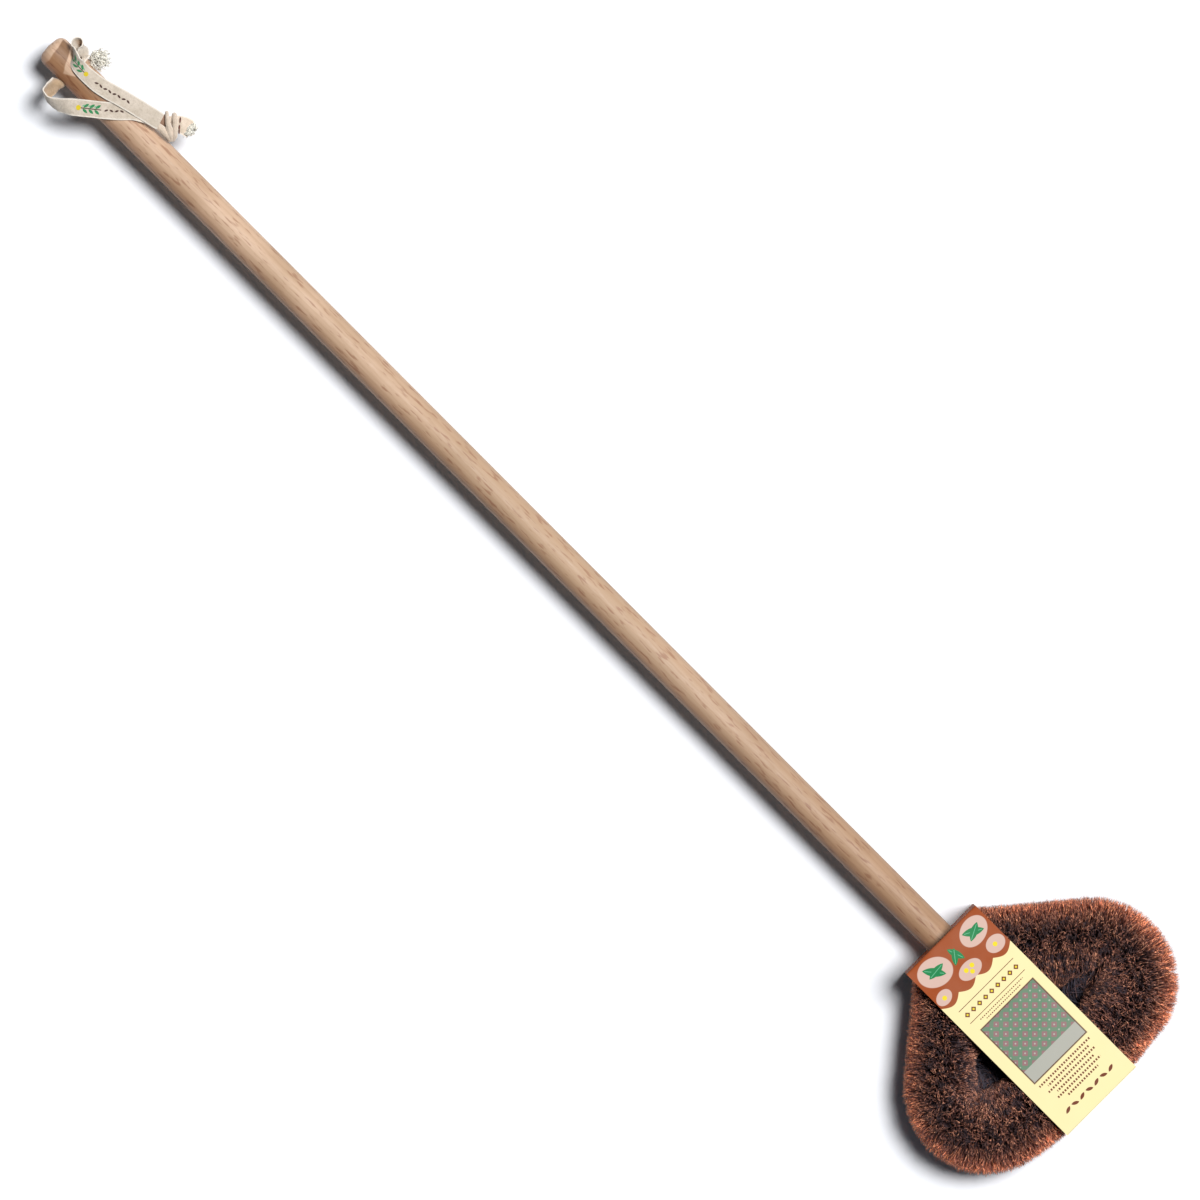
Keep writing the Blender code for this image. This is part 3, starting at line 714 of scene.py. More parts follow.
def sproutFibres(name, start, end, runs, spike, dice, isFar):
    around, level, faces = spike
    s, angle, middle, heading, length, deep = strewTufts(start, end, runs, dice, isFar)
    tangent = np.stack([np.cos(heading), np.sin(heading), 0 * heading], 1)
    sideways = np.stack([-np.sin(heading), np.cos(heading), 0 * heading], 1)
    up = np.array([0.0, 0.0, 1.0])
    out = sideways * np.cos(angle)[:, None] + up * np.sin(angle)[:, None]
    turn = -sideways * np.sin(angle)[:, None] + up * np.cos(angle)[:, None]
    toCell, toRow, luck = bunchUp(s, angle)
    lean = dice.normal(0, coir["lean"], len(s))
    lean = np.clip(lean, -coir["leanLimit"], coir["leanLimit"])
    direction = out + tangent * lean[:, None]
    direction += turn * dice.normal(0, coir["turn"], len(s))[:, None]
    # each tuft splits into a few fibres that start apart and close up towards the tip
    tuft = np.repeat(np.arange(len(s)), coir["fibresInTuft"])
    count = len(tuft)
    wander = dice.normal(0, coir["rootSpread"], count)[:, None]
    root = middle[tuft] + tangent[tuft] * wander
    tip = middle[tuft] + direction[tuft] * length[tuft][:, None]
    tip += (tangent * (toCell * coir["pull"])[:, None])[tuft]
    tip += (turn * (toRow * length * coir["pull"])[:, None])[tuft]
    tangent, turn, out = tangent[tuft], turn[tuft], out[tuft]
    tip += tangent * dice.normal(0, coir["tipSpread"], (count, 1))
    tip += turn * dice.normal(0, coir["tipSpread"], (count, 1))
    uneven = np.clip(dice.normal(0, 1, count), -2, 2) * coir["unevenFibre"]
    tip += out * (length[tuft] * uneven)[:, None]
    low = (deep > 0.5)[tuft][:, None]
    tip = np.where(low, tip, trimAtGaps(root, tip))
    bow = dice.normal(0, coir["bend"], (count, 2)) * length[tuft][:, None]
    bow = tangent * bow[:, :1] + turn * bow[:, 1:]
    t = level[None, :, None]
    places = root[:, None] * (1 - t) + tip[:, None] * t + bow[:, None] * (4 * t * (1 - t))
    thick = coir["thick"] * (0.7 + 0.6 * dice.random(count))
    ring = tangent[:, None] * around[None, :, :1] + turn[:, None] * around[None, :, 1:]
    places = pressUnderCard(places + ring * thick[:, None, None], dice)
    keep = clearOfHandle(places[:, level > 0.7].mean(axis=1))
    keys = np.clip(0.45 * luck[tuft] + 0.55 * dice.random(count), 0, 1)
    places = places[keep] + np.array([headX, 0, axisZ]) / mm
    made = sheafMesh(name, places, faces, level, keys[keep])
    # a second map tells how far a fibre lies outward, which takes painted highlight on the tips at
    # the rim, and how deep inside the loop
    lie = made.data.uv_layers.new(name="lie")
    rim = np.repeat((np.clip(np.cos(angle), 0, 1) ** 2)[tuft][keep], len(faces) * 3)
    depth = np.repeat(deep[tuft][keep], len(faces) * 3)
    lie.data.foreach_set("uv", np.stack([rim, depth], 1).ravel())
    return made


def pressUnderCard(places, dice):
    half = (cardHigh[1] - cardLow[1]) / 2 / mm
    roof = (cardHigh[2] - cardLow[2]) / 2 / mm - coir["underFace"]
    low = (cardLow[0] - headX) / mm + coir["insideEnd"]
    high = (cardHigh[0] - headX) / mm - coir["insideEnd"]
    press = coir["uneven"] * dice.random(len(places))[:, None]
    under = np.abs(places[..., 1]) < half + coir["besideCard"]
    x, y, z = places[..., 0], places[..., 1], places[..., 2]
    # outside the card the tips spread on freely, under it they lie flat against it
    flat = np.clip(z, -roof + press, roof - press)
    places[..., 2] = np.where(under, flat, np.clip(z, coir["lowest"], coir["highest"]))
    places[..., 0] = np.where(under, np.clip(x, low + press, high - press), x)
    places[..., 1] = np.clip(y, -coir["widest"], coir["widest"])
    return places


def clearOfHandle(tips):
    radius = (handleHigh[1] - handleLow[1]) / 2 / mm + coir["roundHandle"]
    near = tips[:, 0] < coir["pastHandle"]
    inside = near & (np.hypot(tips[:, 1], tips[:, 2]) < radius)
    return ~inside


def makeCoirMaterial():
    material, tree, shader = newMaterial("coir_fibre", Roughness=0.6)
    thread = splitOf(tree, uvPlace(tree, "fibre"))
    lie = splitOf(tree, uvPlace(tree, "lie"))
    rim, deep = lie[0], lie[1]
    along = colourRamp(tree, thread[0], coir["along"])
    colour = tinted(tree, along, colourRamp(tree, thread[1], coir["own"]))
    # painted highlight on the tips at the rim
    tips = times(tree, spread(tree, rim, 0.3, 0.8), spread(tree, thread[0], 0.2, 0.7))
    colour = blendColour(tree, tips, colour, tinted(tree, colour, coir["rimHighlightTint"]))
    # fine specks of painted shade and highlight where fibres end and shade one another, less of
    # them at the rim
    place = objectPlace(tree)
    tones = tonesAt(tree, place, 150.0, coir["speckScale"])
    specks = colourRamp(tree, tones["Grain"], coir["specks"])
    calm = calc(tree, "SUBTRACT", 1.0, times(tree, rim, 0.45))
    colour = blendColour(tree, calm, colour, tinted(tree, colour, specks))
    # paler towards the far side
    paler = spread(tree, splitOf(tree, place)[0], 0.42, 0.5, 1.0, 1.2)
    colour = tinted(tree, colour, paler)
    # painted shade: dark blue patches in the brush's inside, and the flat shade down in its gaps
    inner = calc(tree, "SUBTRACT", 1.0, spread(tree, rim, 0.1, 0.7))
    shade = times(tree, spread(tree, tones["Patch"], 0.5, 0.85), inner, 0.8)
    colour = blendColour(tree, shade, colour, linear(coir["patchShadeTone"]))
    hollow = blendColour(tree, tones["Patch"], *map(linear, coir["hollowTones"]))
    colour = blendColour(tree, spread(tree, deep, 0.3, 0.7), colour, hollow)
    finishLook(tree, shader, colour, coir, tones["Grain"])
    return material


def makeCoir():
    runs = coreRuns()
    whole = sum(length for length, _ in runs)
    begin = runs[0][0] + runs[1][0]
    sideEnd = begin + runs[2][0]
    cornerEnd = sideEnd + runs[3][0]
    middle = (sideEnd + cornerEnd) / 2
    spike = makeSpike()
    material = makeCoirMaterial()
    dice = np.random.default_rng(11)
    slices = [
        ("near", begin, sideEnd, False),
        ("corner_near", sideEnd, middle, False),
        ("corner_far", middle, cornerEnd, True),
        ("far", cornerEnd, whole / 2, True),
    ]
    for place, start, end, isFar in slices:
        for hand, low, high in (("left", start, end), ("right", whole - end, whole - start)):
            fibres = sproutFibres(f"coir_{place}_{hand}", low, high, runs, spike, dice, isFar)
            fibres.data.materials.append(material)
            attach(fibres, "brush")
            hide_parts(f"bristles_{place}_{hand}")


makeCoir()
print("scene: coir fibres")


# masks for printed shapes: the vector is scaled so that each shape reaches out to one unit
def reachOf(tree, x, y):
    return calc(tree, "SQRT", plus(tree, times(tree, x, x), times(tree, y, y)))


def makeStamp():
    group, given, out = newGroup("stamp", {"Slim": 0.45}, ("Disc", "Box", "Leaf"))
    split = splitOf(group, given["Vector"])
    x = calc(group, "ABSOLUTE", split[0])
    y = calc(group, "ABSOLUTE", split[1])
    group.links.new(spread(group, reachOf(group, x, y), 1.03, 0.97), out["Disc"])
    group.links.new(spread(group, calc(group, "MAXIMUM", x, y), 1.015, 0.985), out["Box"])
    # a leaf is what two equal discs share
    slim = given["Slim"]
    big = plus(group, times(group, slim, slim), 1.0)
    big = calc(group, "DIVIDE", big, times(group, slim, 2.0))
    away = plus(group, y, calc(group, "SUBTRACT", big, slim))
    inside = calc(group, "SUBTRACT", big, reachOf(group, x, away))
    group.links.new(spread(group, inside, -0.012, 0.012), out["Leaf"])
    return group


stamp = makeStamp()


def stampAt(tree, place, centre, size, turn=0, slim=0.45):
    fitted = mapped(tree, place, (*size, 1), (*centre, 0), turn, "TEXTURE")
    return useGroup(tree, stamp, {"Vector": fitted, "Slim": slim})


# card sleeve: one folded card, printed on its upper side
card = dict(
    thick=0.6,
    fold=1.6,
    foldSteps=3,
    # cuts along, across and up, for the bow and the ripple
    cuts=(36, 14, 8),
    # mm: how far the front crowns, ripples and its ends bow in, each with its shape
    crown=0.7,
    crownPower=0.7,
    crownFall=0.75,
    ripple=0.14,
    rippleAlong=(23, 2.1),
    rippleAcross=(9, 4.3),
    calmEnd=14,
    bow=0.5,
    bowAcross=2.4,
    holeGap=0.5,
    cream="E8DAA4",
    inside="D6D0C0",
    rust="974519",
    blush="CBAB9E",
    green="0C7A44",
    leafPale="66B088",
    yellow="E2CC1E",
    brown="6E3620",
    panelGreen="5C8468",
    panelPink="8E6A6C",
    panelGrey="A6A59B",
    frameLine="5A382A",
    lattice=9.6,
    # rows of dots in mm: place along, half their length and half their height
    dotRows=(
        (59.4, 21, 0.4),
        (61.9, 17, 0.4),
        (122.4, 25, 0.8),
        (126, 20, 0.8),
        (129.6, 23, 0.8),
        (133.2, 18, 0.8),
        (136.8, 21, 0.8),
        (140.4, 15, 0.8),
    ),
    # printed shapes in mm: middle along and across, half sizes, and a turn in degrees
    blushes=(
        ((12, 20.5), (9, 12), 15),
        ((13.5, -19), (10.5, 13), -20),
        ((29, 25.5), (6, 7.5), 0),
        ((30.5, -27), (5, 6.5), 10),
        ((29.5, 0), (6.2, 9.5), 0),
    ),
    leaves=(
        ((12, 20), (8.2, 8.2), 62),
        ((12.5, 20.5), (7.2, 7.2), 118),
        ((13, -19.5), (8.6, 8.6), 40),
        ((13.5, -18), (7.4, 7.4), 96),
        ((14.5, 0.5), (7.0, 7.0), 20),
        ((15.5, -1.5), (6.2, 6.2), -38),
    ),
    berries=((28, -2.6), (31.4, 0.2), (28, 3.0), (29, 25), (31, -27)),
    berrySize=(1.7, 1.7),
    rules=(45.0, 56.5),
    ruleSize=(0.25, 27),
    gems=((50.75, 0), (4.5, 27)),
    frame=((91.5, 1), (27.2, 26.2)),
    panel=((91.5, 1), (26.2, 25.2)),
    strip=((112.5, 1), (5.2, 25.2)),
    rough=(0.12, 0.54),
    relief=(0.25, 0.0005),
)


def choose(kind, parts, test):
    # picks faces or edges by a test, ready for the edit that follows
    bpy.ops.mesh.select_all(action="DESELECT")
    bpy.context.tool_settings.mesh_select_mode = (False, kind == "edge", kind == "face")
    bpy.ops.object.mode_set(mode="OBJECT")
    for part in parts:
        part.select = test(part)
    bpy.ops.object.mode_set(mode="EDIT")


def makeCard():
    size = cardHigh - cardLow
    centre = (cardHigh + cardLow) / 2
    selectNone()
    bpy.ops.mesh.primitive_cube_add(size=1, location=centre, scale=size)
    sleeve = bpy.context.object
    sleeve.name = "printed_sleeve"
    applyPlace(sleeve)
    # open long sides, rounded folds
    corners = sleeve.data.vertices
    bpy.ops.object.mode_set(mode="EDIT")
    choose("face", sleeve.data.polygons, lambda face: abs(face.normal.y) > 0.5)
    bpy.ops.mesh.delete(type="ONLY_FACE")
    choose(
        "edge",
        sleeve.data.edges,
        lambda edge: abs(corners[edge.vertices[0]].co.y - corners[edge.vertices[1]].co.y) > 0.03,
    )
    bpy.ops.mesh.bevel(offset=card["fold"] * mm, segments=card["foldSteps"], affect="EDGES")
    bpy.context.tool_settings.mesh_select_mode = (True, False, False)
    # enough rows of points to bow and ripple the card
    for axis, steps in enumerate(card["cuts"]):
        normal = [0, 0, 0]
        normal[axis] = 1
        for k in range(1, steps):
            place = list(cardLow)
            place[axis] += size[axis] * k / steps
            bpy.ops.mesh.select_all(action="SELECT")
            bpy.ops.mesh.bisect(plane_co=place, plane_no=normal)
    bpy.ops.object.mode_set(mode="OBJECT")
    places = coordsOf(sleeve)
    a = (places[:, 0] - cardLow[0]) / size[0]
    b = (places[:, 1] - centre[1]) / size[1] * 2
    upper = places[:, 2] > cardHigh[2] - card["thick"] * mm
    rise = card["crown"] * np.sin(np.pi * np.clip(a, 0, 1)) ** card["crownPower"]
    rise *= 1 - card["crownFall"] * b * b
    (alongA, alongB), (acrossA, acrossB) = card["rippleAlong"], card["rippleAcross"]
    wave = np.sin(a * alongA + alongB * b) * np.cos(b * acrossB + a * acrossA) * card["ripple"]
    edge = np.clip(np.minimum(a, 1 - a) * card["calmEnd"], 0, 1)
    places[:, 2] += np.where(upper, (rise + wave) * edge, 0) * mm
    bowed = np.sin(np.pi * np.clip((places[:, 2] - cardLow[2]) / size[2], 0, 1))
    atEnd = (a > 0.999) | (a < 0.001)
    hollow = -card["bow"] * np.sign(a - 0.5) * bowed * np.cos(b * card["bowAcross"])
    places[:, 0] += np.where(atEnd, hollow, 0) * mm
    setCoords(sleeve, places)
    finishWith(sleeve, "SOLIDIFY", thickness=card["thick"] * mm, offset=-1, use_even_offset=True)
    # round hole that the handle passes through
    radius = (handleHigh[1] - handleLow[1]) / 2 + card["holeGap"] * mm
    selectNone()
    bpy.ops.mesh.primitive_cylinder_add(
        vertices=48,
        radius=radius,
        depth=0.03,
        location=(cardLow[0], 0, axisZ),
        rotation=(0, math.pi / 2, 0),
    )
    punch = bpy.context.object
    applyPlace(punch)
    finishWith(sleeve, "BOOLEAN", object=punch, operation="DIFFERENCE", solver="EXACT")
    bpy.data.objects.remove(punch)
    smoothByAngle(sleeve, 40)
    sleeve.data.materials.clear()
    sleeve.data.materials.append(makeCardPrint())
    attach(sleeve, "brush")
    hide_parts("card_sleeve")


def makeCardPrint():
    material, tree, shader = newMaterial("printed_card", Roughness=0.6)
    shader.inputs["Specular IOR Level"].default_value = 0.12
    place = objectPlace(tree)
    # millimetres along the card from its near end, and across from its middle
    flat = mapped(tree, place, (mm, mm, 1e3), (cardLow[0], 0, 0), kind="TEXTURE")
    split = splitOf(tree, flat)
    a, b = split[0], split[1]
    ink = {key: linear(value) for key, value in card.items() if isinstance(value, str)}
    colour = ink["cream"]

    def lay(mask, name, strength=1.0):
        nonlocal colour
        if strength < 1:
            mask = times(tree, mask, strength)
        colour = blendColour(tree, mask, colour, ink[name])

    # header: rust ground with a scalloped foot, pale rounds, leaves and berries
    scallop = calc(tree, "ABSOLUTE", calc(tree, "SINE", times(tree, b, math.pi / 17)))
    foot = plus(tree, times(tree, scallop, 4.2), 35.0)
    header = spread(tree, calc(tree, "SUBTRACT", foot, a), -0.12, 0.12)
    lay(header, "rust")
    for centre, size, turn in card["blushes"]:
        lay(stampAt(tree, flat, centre, size, turn)["Disc"], "blush")
    for centre, size, turn in card["leaves"]:
        lay(stampAt(tree, flat, centre, size, turn, 0.36)["Leaf"], "green")
        rib = (size[0] * 0.8, 0.22)
        lay(stampAt(tree, flat, centre, rib, turn)["Box"], "leafPale")
    for centre in card["berries"]:
        lay(stampAt(tree, flat, centre, card["berrySize"])["Disc"], "yellow")
    # ornament under the header: two rules and a row of diamonds between them
    for away in card["rules"]:
        lay(stampAt(tree, flat, (away, 0), card["ruleSize"])["Box"], "brown")
    cell = calc(tree, "FRACT", calc(tree, "DIVIDE", plus(tree, b, 27.0), 6.0))
    aside = calc(tree, "ABSOLUTE", times(tree, calc(tree, "SUBTRACT", cell, 0.5), 6.0))
    ahead = calc(tree, "ABSOLUTE", calc(tree, "SUBTRACT", a, card["gems"][0][0]))
    nearness = plus(tree, aside, ahead)
    row = stampAt(tree, flat, *card["gems"])["Box"]
    lay(times(tree, spread(tree, nearness, 2.35, 2.15), row), "brown")
    lay(times(tree, spread(tree, nearness, 1.05, 0.9), row), "yellow")
    # framed panel: lattice of muted green over pink, with a plain strip at its foot
    lay(stampAt(tree, flat, *card["frame"])["Box"], "frameLine")
    panel = stampAt(tree, flat, *card["panel"])["Box"]
    lay(panel, "panelPink")
    waves = []
    for way in (plus(tree, a, b), calc(tree, "SUBTRACT", a, b)):
        wave = calc(tree, "SINE", times(tree, way, 2 * math.pi / card["lattice"]))
        waves.append(wave)
        lay(times(tree, spread(tree, wave, 0.14, 0.26), panel), "panelGreen", 0.82)
    checks = times(tree, *waves)
    lay(times(tree, spread(tree, checks, 0.8, 0.88), panel), "panelGrey")
    lay(stampAt(tree, flat, *card["strip"])["Box"], "panelGrey")
    # foot: rows of dots and a row of small leaves
    for away, half, tall in card["dotRows"]:
        line = stampAt(tree, flat, (away, 1), (1.1, half))["Box"]
        step = calc(tree, "SINE", times(tree, b, 2 * math.pi / (1.4 + tall)))
        apart = calc(tree, "ABSOLUTE", calc(tree, "SUBTRACT", a, away))
        across = spread(tree, apart, tall + 0.08, tall - 0.08)
        lay(times(tree, spread(tree, step, -0.35, -0.1), across, line), "brown")
    for k in range(7):
        spot = (148, -21 + 7 * k)
        lay(stampAt(tree, flat, spot, (3.0, 3.0), 90 + 24 * (-1) ** k, 0.4)["Leaf"], "brown")
    # print is only on the outside of the upper side and of the near end
    facing = splitOf(tree, addNode(tree, "ShaderNodeNewGeometry").outputs["Normal"])
    height = splitOf(tree, place)[2]
    high = spread(tree, height, cardHigh[2] - 0.0024, cardHigh[2] - 0.0016)
    printed = times(tree, high, spread(tree, facing[2], 0.2, 0.4))
    nearEnd = spread(tree, facing[0], -0.75, -0.9)
    rest = blendColour(tree, nearEnd, ink["cream"], ink["rust"])
    colour = blendColour(tree, printed, rest, colour)
    tones = tonesAt(tree, place, 30.0, 1400.0)
    worn = times(tree, tones["Patch"], 0.05)
    colour = blendColour(tree, worn, colour, ink["inside"])
    soft = plus(tree, tones["Patch"], times(tree, tones["Grain"], 0.08))
    finishLook(tree, shader, colour, card, tones["Grain"], soft)
    return material


makeCard()
print("scene: card sleeve")


# hanging tape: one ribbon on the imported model's route
tape = dict(
    width=12.2,
    thick=0.75,
    step=0.8,
    cutsAcross=12,
    edgeWave=0.22,
    # mm to each side for the tangent; in radians: the least curl, and where a roll begins
    halfStep=0.4,
    leastCurl=0.02,
    rollFrom=2.6,
    rollOver=1.6,
    blendFrom=8.0,
    blendTo=45.0,
    pale="E0D2C2",
    mid="D2C4B2",
    dark="A08F7C",
    # pale edge colour: painted highlight along the selvages
    selvage="F4ECE0",
    green="2C8650",
    leafPale="7FB58F",
    yellow="DCC21E",
    brown="46261E",
    rough=(0.1, 0.8),
    relief=(0.7, 0.0003),
    # mm along the tape: the sprig's middle, the first leaf and how many, and the stretch in painted
    # shade;
    # its linear tint, and the mm across in which it fades out at the upper selvage
    upperPrint=dict(
        sprig=170.5, leaves=(187.5, 8), tintStretch=(70.0, 103.0), tint=(0.70, 0.57, 0.43), rim=(0.8, 1.7)
    ),
    lowerPrint=dict(
        sprig=48.5, leaves=(24.9, 4), tintStretch=(126.0, 151.0), tint=(0.78, 0.57, 0.42), rim=(1.9, 3.1)
    ),
)
# mm from the hole's middle: along, across and up; then the direction across the tape, the
# share of its flat width, and the degrees that its section is curled through
tapeRoute = [
    (65.7, 16.9, 12.3, 0.30, -0.95, 0.00, 1.00, 10),
    (61.3, 15.5, 12.3, 0.40, -0.92, 0.00, 1.00, 10),
    (51.5, 9.9, 12.3, 0.62, -0.79, 0.00, 1.00, 12),
    (43.9, 2.6, 12.3, 0.69, -0.72, 0.00, 1.00, 12),
    (35.6, -4.6, 12.3, 0.68, -0.73, 0.00, 1.00, 12),
    (26.4, -12.0, 12.6, 0.66, -0.75, 0.00, 1.00, 8),
    (20.0, -17.2, 12.6, 0.66, -0.75, -0.12, 1.00, 2),
    (15.4, -20.8, 12.3, 0.62, -0.66, -0.42, 1.00, -8),
    (10.6, -24.4, 11.6, 0.50, -0.52, -0.70, 1.00, -18),
    (5.4, -27.0, 10.6, 0.33, -0.36, -0.87, 1.00, -30),
    (1.2, -27.6, 9.8, 0.36, -0.25, -0.90, 1.00, -35),
    (-2.2, -26.0, 8.4, 0.55, -0.12, -0.82, 1.00, -40),
    (-2.6, -22.6, 6.6, 0.66, 0.00, -0.75, 1.00, -40),
    (-2.3, -19.2, 4.8, 0.72, 0.03, -0.69, 1.00, -20),
    (-1.9, -16.8, 3.4, 0.78, 0.03, -0.62, 1.00, 50),
    (-1.2, -14.4, 1.7, 0.90, 0.04, -0.40, 1.00, 170),
    (0.0, -12.0, 0.0, 1.00, 0.00, 0.00, 1.00, 240),
    (0.0, 0.0, 0.0, 1.00, 0.00, 0.00, 1.00, 250),
    (0.0, 12.0, 0.0, 1.00, 0.00, 0.00, 1.00, 240),
    (0.2, 13.8, 2.0, 0.93, 0.00, -0.36, 1.00, 150),
    (-0.4, 12.0, 6.2, 0.80, -0.04, -0.60, 1.00, 50),
    (-2.6, 11.0, 10.6, 0.64, -0.06, -0.77, 1.00, -5),
    (-3.9, 14.0, 11.4, 0.66, -0.06, -0.75, 1.00, 15),
    (-6.2, 16.9, 11.6, 0.68, -0.18, -0.71, 1.00, 25),
    (-9.4, 17.5, 11.5, 0.69, -0.24, -0.68, 1.00, 30),
    (-11.4, 15.4, 11.5, 0.67, -0.17, -0.72, 1.00, 30),
    (-11.3, 13.1, 11.9, 0.65, -0.12, -0.75, 0.95, 30),
    (-10.0, 10.7, 12.8, 0.51, -0.22, -0.83, 0.85, 28),
    (-8.0, 8.9, 14.2, 0.28, -0.42, -0.86, 0.90, 26),
    (-5.2, 7.0, 15.4, 0.14, -0.60, -0.78, 0.92, 24),
    (-1.3, 5.1, 15.2, 0.18, -0.84, -0.50, 0.90, 20),
    (4.6, 4.4, 14.7, 0.20, -0.96, -0.18, 0.87, 20),
    (11.5, 4.6, 14.0, 0.20, -0.98, -0.06, 0.92, 20),
    (19.5, 5.3, 13.7, 0.21, -0.98, 0.00, 0.97, 20),
    (28.0, 7.2, 13.6, 0.21, -0.98, 0.00, 1.00, 16),
    (38.9, 10.4, 14.1, 0.21, -0.98, 0.00, 1.00, 10),
    (52.0, 13.7, 13.6, 0.22, -0.97, 0.00, 1.00, 10),
    (65.7, 16.9, 13.6, 0.26, -0.96, 0.00, 1.00, 10),
    (69.3, 18.0, 13.0, 0.57, -0.82, 0.00, 0.98, 14),
]


def smoothRows(rows, steps=16):
    rows = np.array(rows, float)
    before = np.vstack([2 * rows[0] - rows[1], rows[:-1]])
    after = np.vstack([rows[1:], 2 * rows[-1] - rows[-2]])
    slopes = (after - before) / 2
    t = (np.arange(steps) / steps)[None, :, None]
    low, high = rows[:-1, None], rows[1:, None]
    lowSlope, highSlope = slopes[:-1, None], slopes[1:, None]
    made = (
        (2 * t**3 - 3 * t**2 + 1) * low
        + (t**3 - 2 * t**2 + t) * lowSlope
        + (3 * t**2 - 2 * t**3) * high
        + (t**3 - t**2) * highSlope
    )
    return np.vstack([made.reshape(-1, rows.shape[1]), rows[-1:]])


def makeRibbon(name, route, width, dress, edgeWave=0.0):
    rows = smoothRows(route)
    lengths = np.concatenate([[0], np.cumsum(np.linalg.norm(np.diff(rows[:, :3], axis=0), axis=1))])
    cuts = max(4, round(lengths[-1] / tape["step"]))
    selectNone()
    bpy.ops.mesh.primitive_grid_add(
        x_subdivisions=tape["cutsAcross"], y_subdivisions=cuts, size=2
    )
    ribbon = bpy.context.object
    ribbon.name = name
    applyPlace(ribbon)
    flat = coordsOf(ribbon)
    w = flat[:, 0] * width / 2
    s = (flat[:, 1] + 1) / 2 * lengths[-1]
    row = np.stack([np.interp(s, lengths, column) for column in rows.T], 1)
    near = [s + away for away in (tape["halfStep"], -tape["halfStep"])]
    ahead, behind = [
        np.stack([np.interp(spot, lengths, column) for column in rows.T[:3]], 1) for spot in near
    ]
    tangent = unit(ahead - behind)
    across = row[:, 3:6] - tangent * np.sum(row[:, 3:6] * tangent, axis=1)[:, None]
    across = unit(across)
    through = unit(np.cross(tangent, across))
    # a section is curled through an angle and centred, a rolled one on the middle of its roll
    curl = np.radians(row[:, 7])
    curl = np.where(np.abs(curl) < tape["leastCurl"], tape["leastCurl"], curl)
    radius = width / curl
    phi = w / radius
    rolled = np.clip((np.abs(curl) - tape["rollFrom"]) / tape["rollOver"], 0, 1)
    sway = radius * (1 - np.sinc(curl / 2 / np.pi)) * (1 - rolled) + radius * rolled
    rise = radius * (1 - np.cos(phi)) - sway
    # the selvages wander a little where the cloth is slack
    edge = np.abs(flat[:, 0]) ** 3 * edgeWave * np.clip(1.6 - np.abs(curl), 0, 1)
    rise = rise + edge * (np.sin(s * 0.53 + flat[:, 0] * 2.0) + 0.6 * np.sin(s * 1.27 + 1.3))
    sideways = across * (radius * np.sin(phi) * row[:, 6])[:, None]
    places = row[:, :3] + sideways + through * rise[:, None]
    setCoords(ribbon, places * mm + np.array(hole))
    # the map is in millimetres, so that the weave keeps its scale
    uv = ribbon.data.uv_layers[0]
    uv.name = "cloth"
    index = np.empty(len(ribbon.data.loops), int)
    ribbon.data.loops.foreach_get("vertex_index", index)
    uv.data.foreach_set("uv", np.stack([(w + width / 2)[index], s[index]], 1).ravel())
    for material in dress:
        ribbon.data.materials.append(material)
    # the back takes the second material
    thick = tape["thick"] * mm
    finishWith(ribbon, "SOLIDIFY", thickness=thick, offset=0, material_offset=1)
    smoothByAngle(ribbon, 60)
    return ribbon, lengths[-1]


def makeWeave():
    # herringbone: slanting threads that turn about in stripes, from a map in millimetres
    group, given, out = newGroup("weave", {"Stripe": 3.0, "Thread": 0.55}, ("Height", "Gap"))
    stripe, thread = given["Stripe"], given["Thread"]
    split = splitOf(group, given["Vector"])
    zigzag = calc(group, "PINGPONG", calc(group, "DIVIDE", split[0], stripe), 1.0)
    slant = plus(group, split[1], times(group, zigzag, stripe))
    height = 0.0
    for way, share in ((slant, 0.35), (split[0], 0.15)):
        phase = times(group, calc(group, "DIVIDE", way, thread), 2 * math.pi)
        height = plus(group, times(group, calc(group, "SINE", phase), share), height)
    height = plus(group, height, 0.5)
    group.links.new(height, out["Height"])
    group.links.new(spread(group, height, 0.35, 0.05), out["Gap"])
    return group


weave = makeWeave()


